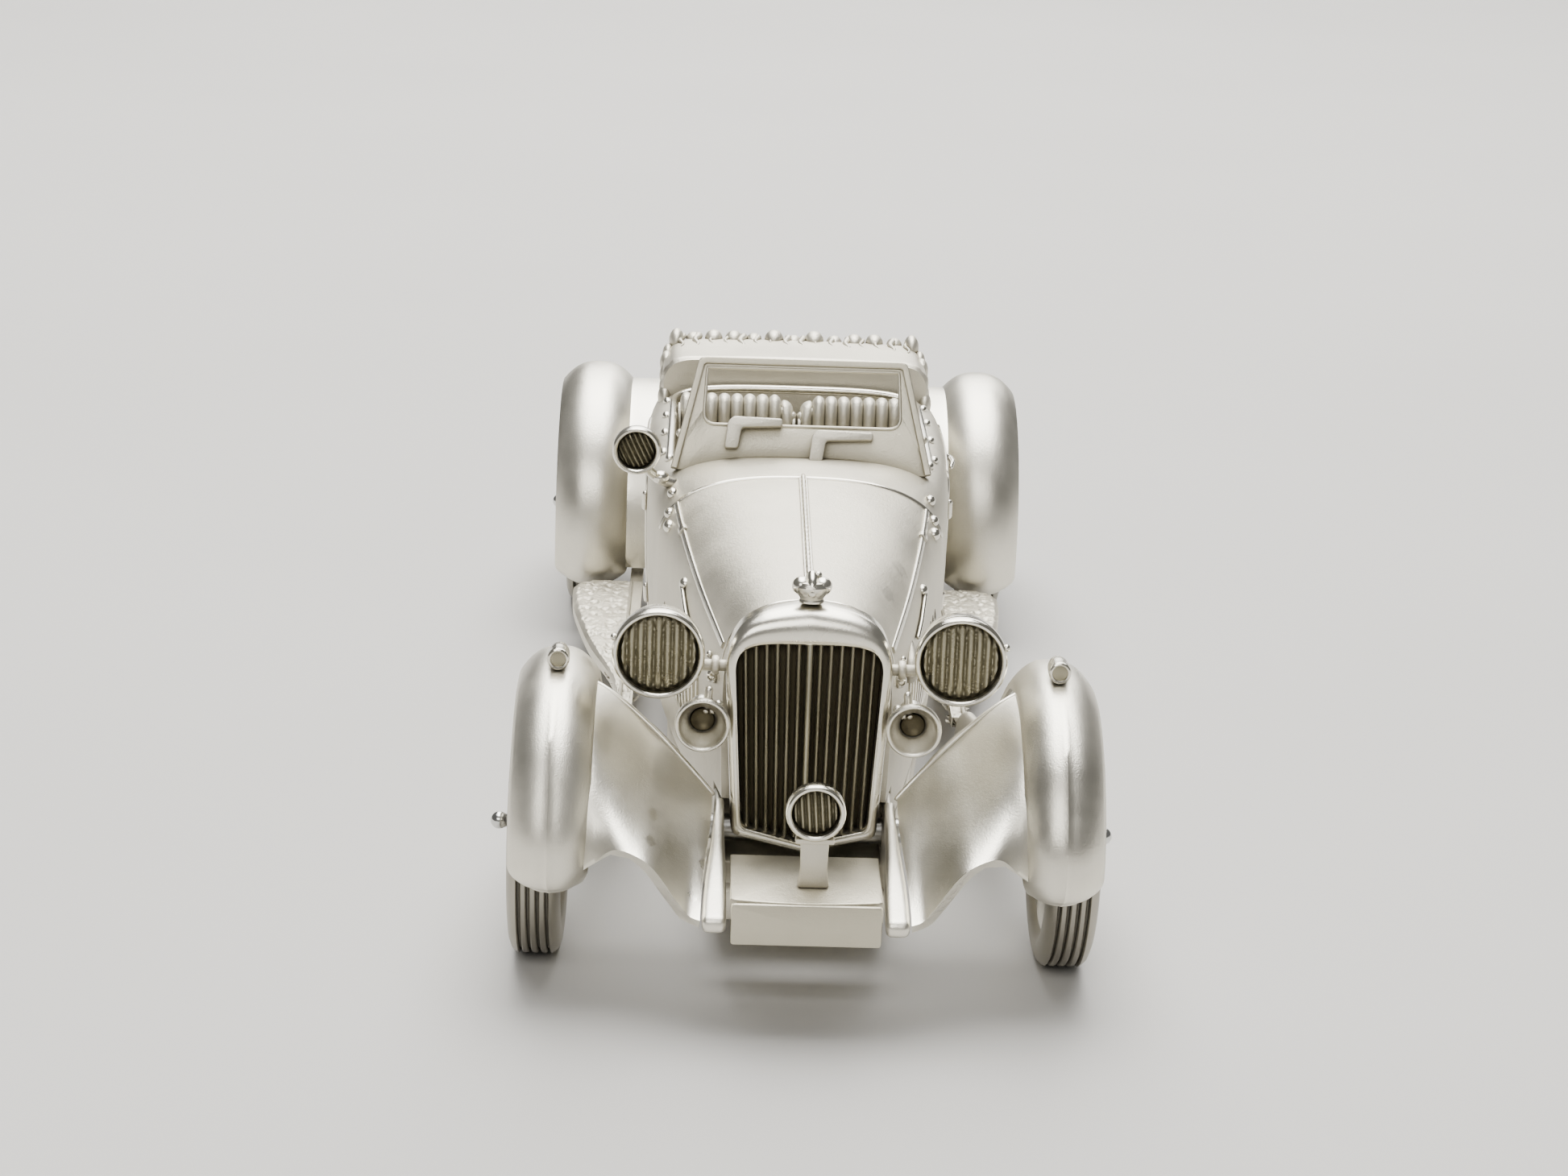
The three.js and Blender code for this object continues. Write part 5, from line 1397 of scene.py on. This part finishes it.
for end, y in (("front", 0), ("rear", WHEELBASE)):
    rides = f"{end}_wheels"
    # The tyres' dark tone is painted shade on silver cast metal.
    show_pair(f"tyre_{end}", tyre().moved(TRACK_HALF, y, TYRE_RADIUS), "tyre_metal", rides)
    show_pair(f"wheel_{end}", wheel().moved(TRACK_HALF, y, TYRE_RADIUS), "bright_pewter", rides)
    show(f"{end}_axle_turned", axle(f"{end}_axle"), "steel", rides, f"{end}_axle")

# ---- chassis
horn_tops = [(-13.6, 7.7), (-12, 8.25), (-9, 9.3), (-5.5, 10.4), (-3, 10.95), (-2.1, 10.9)]
horn_top_at = through(horn_tops + [(-1.6, 10.05), (2, 10.05)])
horn_low_at = through([(-13.6, 6.75), (-10, 6.95), (-7, 7.1), (-4.6, 5.6), (-3.6, 4.7), (2, 4.6)])


def frame_rail():
    """One front frame horn, which flares to its foot, and the rear bearing block."""
    rings = []
    for y in spaced(1.9, FRAME_TIP + 0.4, 50) + spaced(FRAME_TIP + 0.36, FRAME_TIP, 6):
        blunt = 0.32 * round_off((FRAME_TIP + 0.4 - y) / 0.4)
        inner = RAIL_INNER + 0.06 + 0.26 * smooth(y, -13, -3) + blunt
        section = rectangle(inner, horn_low_at(y) + blunt, horn_outer_at(y) - blunt, horn_top_at(y) - blunt)
        rings.append([Vector((p.x, y, p.y)) for p in rounded(section, 0.42)])
    block = rectangle(WHEELBASE - 1.9, FLOOR_TOP - 0.3, WHEELBASE + 1.9, TYRE_RADIUS + 1.9)
    return loft(rings) + slab(rounded(block, 0.5), RAIL_INNER, RAIL_OUTER, 0.15, lengthwise)


def chassis():
    """Floor of the base with its screw wells and pipe channel, the frame rails and a cross member."""
    low, high = span("chassis_base")
    wide = 0.9 * BODY_HALF
    plan = [(RAIL_OUTER, -1.5), (wide - 1.2, BONNET_END), (wide - 0.6, WHEELBASE - 14)]
    plan += [(RAIL_OUTER + 0.6, WHEELBASE - 6), (RAIL_OUTER, high.y)]
    plan = rounded(plan + [(-x, y) for x, y in plan[::-1]], 0.8)
    floor_cast = slab(plan, low.z, FLOOR_TOP, 0.2)
    plate = show("chassis_floor_cast", floor_cast, "satin_pewter", instead="chassis_base")
    for node in ("base_screw_front", "base_screw_rear"):
        head, tail = span(node)
        middle, radius = (head + tail) / 2, (tail.x - head.x) / 2 + GAP
        well = lathe([(0, -1.5), (radius, -1.5), (radius, 1.1), (0, 1.1)], 40).turned(UPRIGHT)
        carve(plate, well.moved(middle.x, middle.y, low.z))
    pipe, end = span("exhaust_pipe")
    channel = rectangle(pipe.x - GAP, pipe.y - GAP, end.x + GAP, end.y + 2)
    carve(plate, slab(channel, low.z - 2, end.z + GAP))
    rails = show("frame_rails_cast", frame_rail().on_both_sides(), "rubbed_pewter")
    for y in (0, WHEELBASE):
        bore = lathe([(0, -9), (1.1, -9), (1.1, 9), (0, 9)], 48).turned(SIDEWAYS)
        carve(rails, bore.moved(0, y, TYRE_RADIUS))
    member = rectangle(-RAIL_OUTER + 0.9, -6.4, RAIL_OUTER - 0.9, -4.9)
    show("cross_member_cast", slab(member, low.z + 0.4, FLOOR_TOP, 0.15), "satin_pewter")


chassis()

# ---- pieces kept as the CAD has them
for node in ("base_screw_front", "base_screw_rear", "exhaust_pipe"):
    kept = frame["nodes"][node]
    kept.data.materials.clear()
    kept.data.materials.append(looks["steel"])


# ---- floor and light
def floor():
    mesh = bpy.data.meshes.new("floor")
    half = 20
    mesh.from_pydata([(x, y, 0) for x, y in rectangle(-half, -half, half, half)], [], [(0, 1, 2, 3)])
    material, tree, shader, place = new_material("pale floor")
    cloud = noise_of(tree, place, 14, 3)
    tone = blend_of(tree, cloud, (0.52, 0.51, 0.49, 1), (0.57, 0.56, 0.54, 1))
    fill(tree, shader.inputs["Base Color"], tone)
    shader.inputs["Roughness"].default_value = 0.75
    mesh.materials.append(material)
    in_scene("floor", mesh)


def softbox(name, at, size, watts, tint):
    """A rectangular area light that faces the middle of the car."""
    data = bpy.data.lights.new(name, "AREA")
    data.shape = "RECTANGLE"
    data.size, data.size_y = size
    data.energy = watts
    data.color = tint
    light = in_scene(name, data)
    light.location = at
    aim = Vector((0, 0, 0.015)) - Vector(at)
    light.rotation_euler = aim.to_track_quat("-Z", "Y").to_euler()


floor()
softbox("overhead", (0, 0.2, 0.5), (0.36, 0.8), 7.0, (1.0, 0.985, 0.95))
softbox("front", (-0.12, -0.62, 0.46), (0.5, 0.32), 2.6, (1.0, 0.98, 0.94))
softbox("back", (0.12, 0.8, 0.35), (0.6, 0.25), 2.2, (1.0, 0.99, 0.97))

# A broad, even light keeps the floor pale as far as it is seen.
ceiling = bpy.data.lights.new("ceiling", "SUN")
ceiling.energy = 2.4
ceiling.angle = radians(60)
in_scene("ceiling", ceiling).rotation_euler = (radians(-10), 0, 0)

world = bpy.data.worlds.new("studio")
world.use_nodes = True
background = world.node_tree.nodes["Background"]
background.inputs["Color"].default_value = (0.72, 0.71, 0.69, 1)
background.inputs["Strength"].default_value = 0.24
bpy.context.scene.world = world
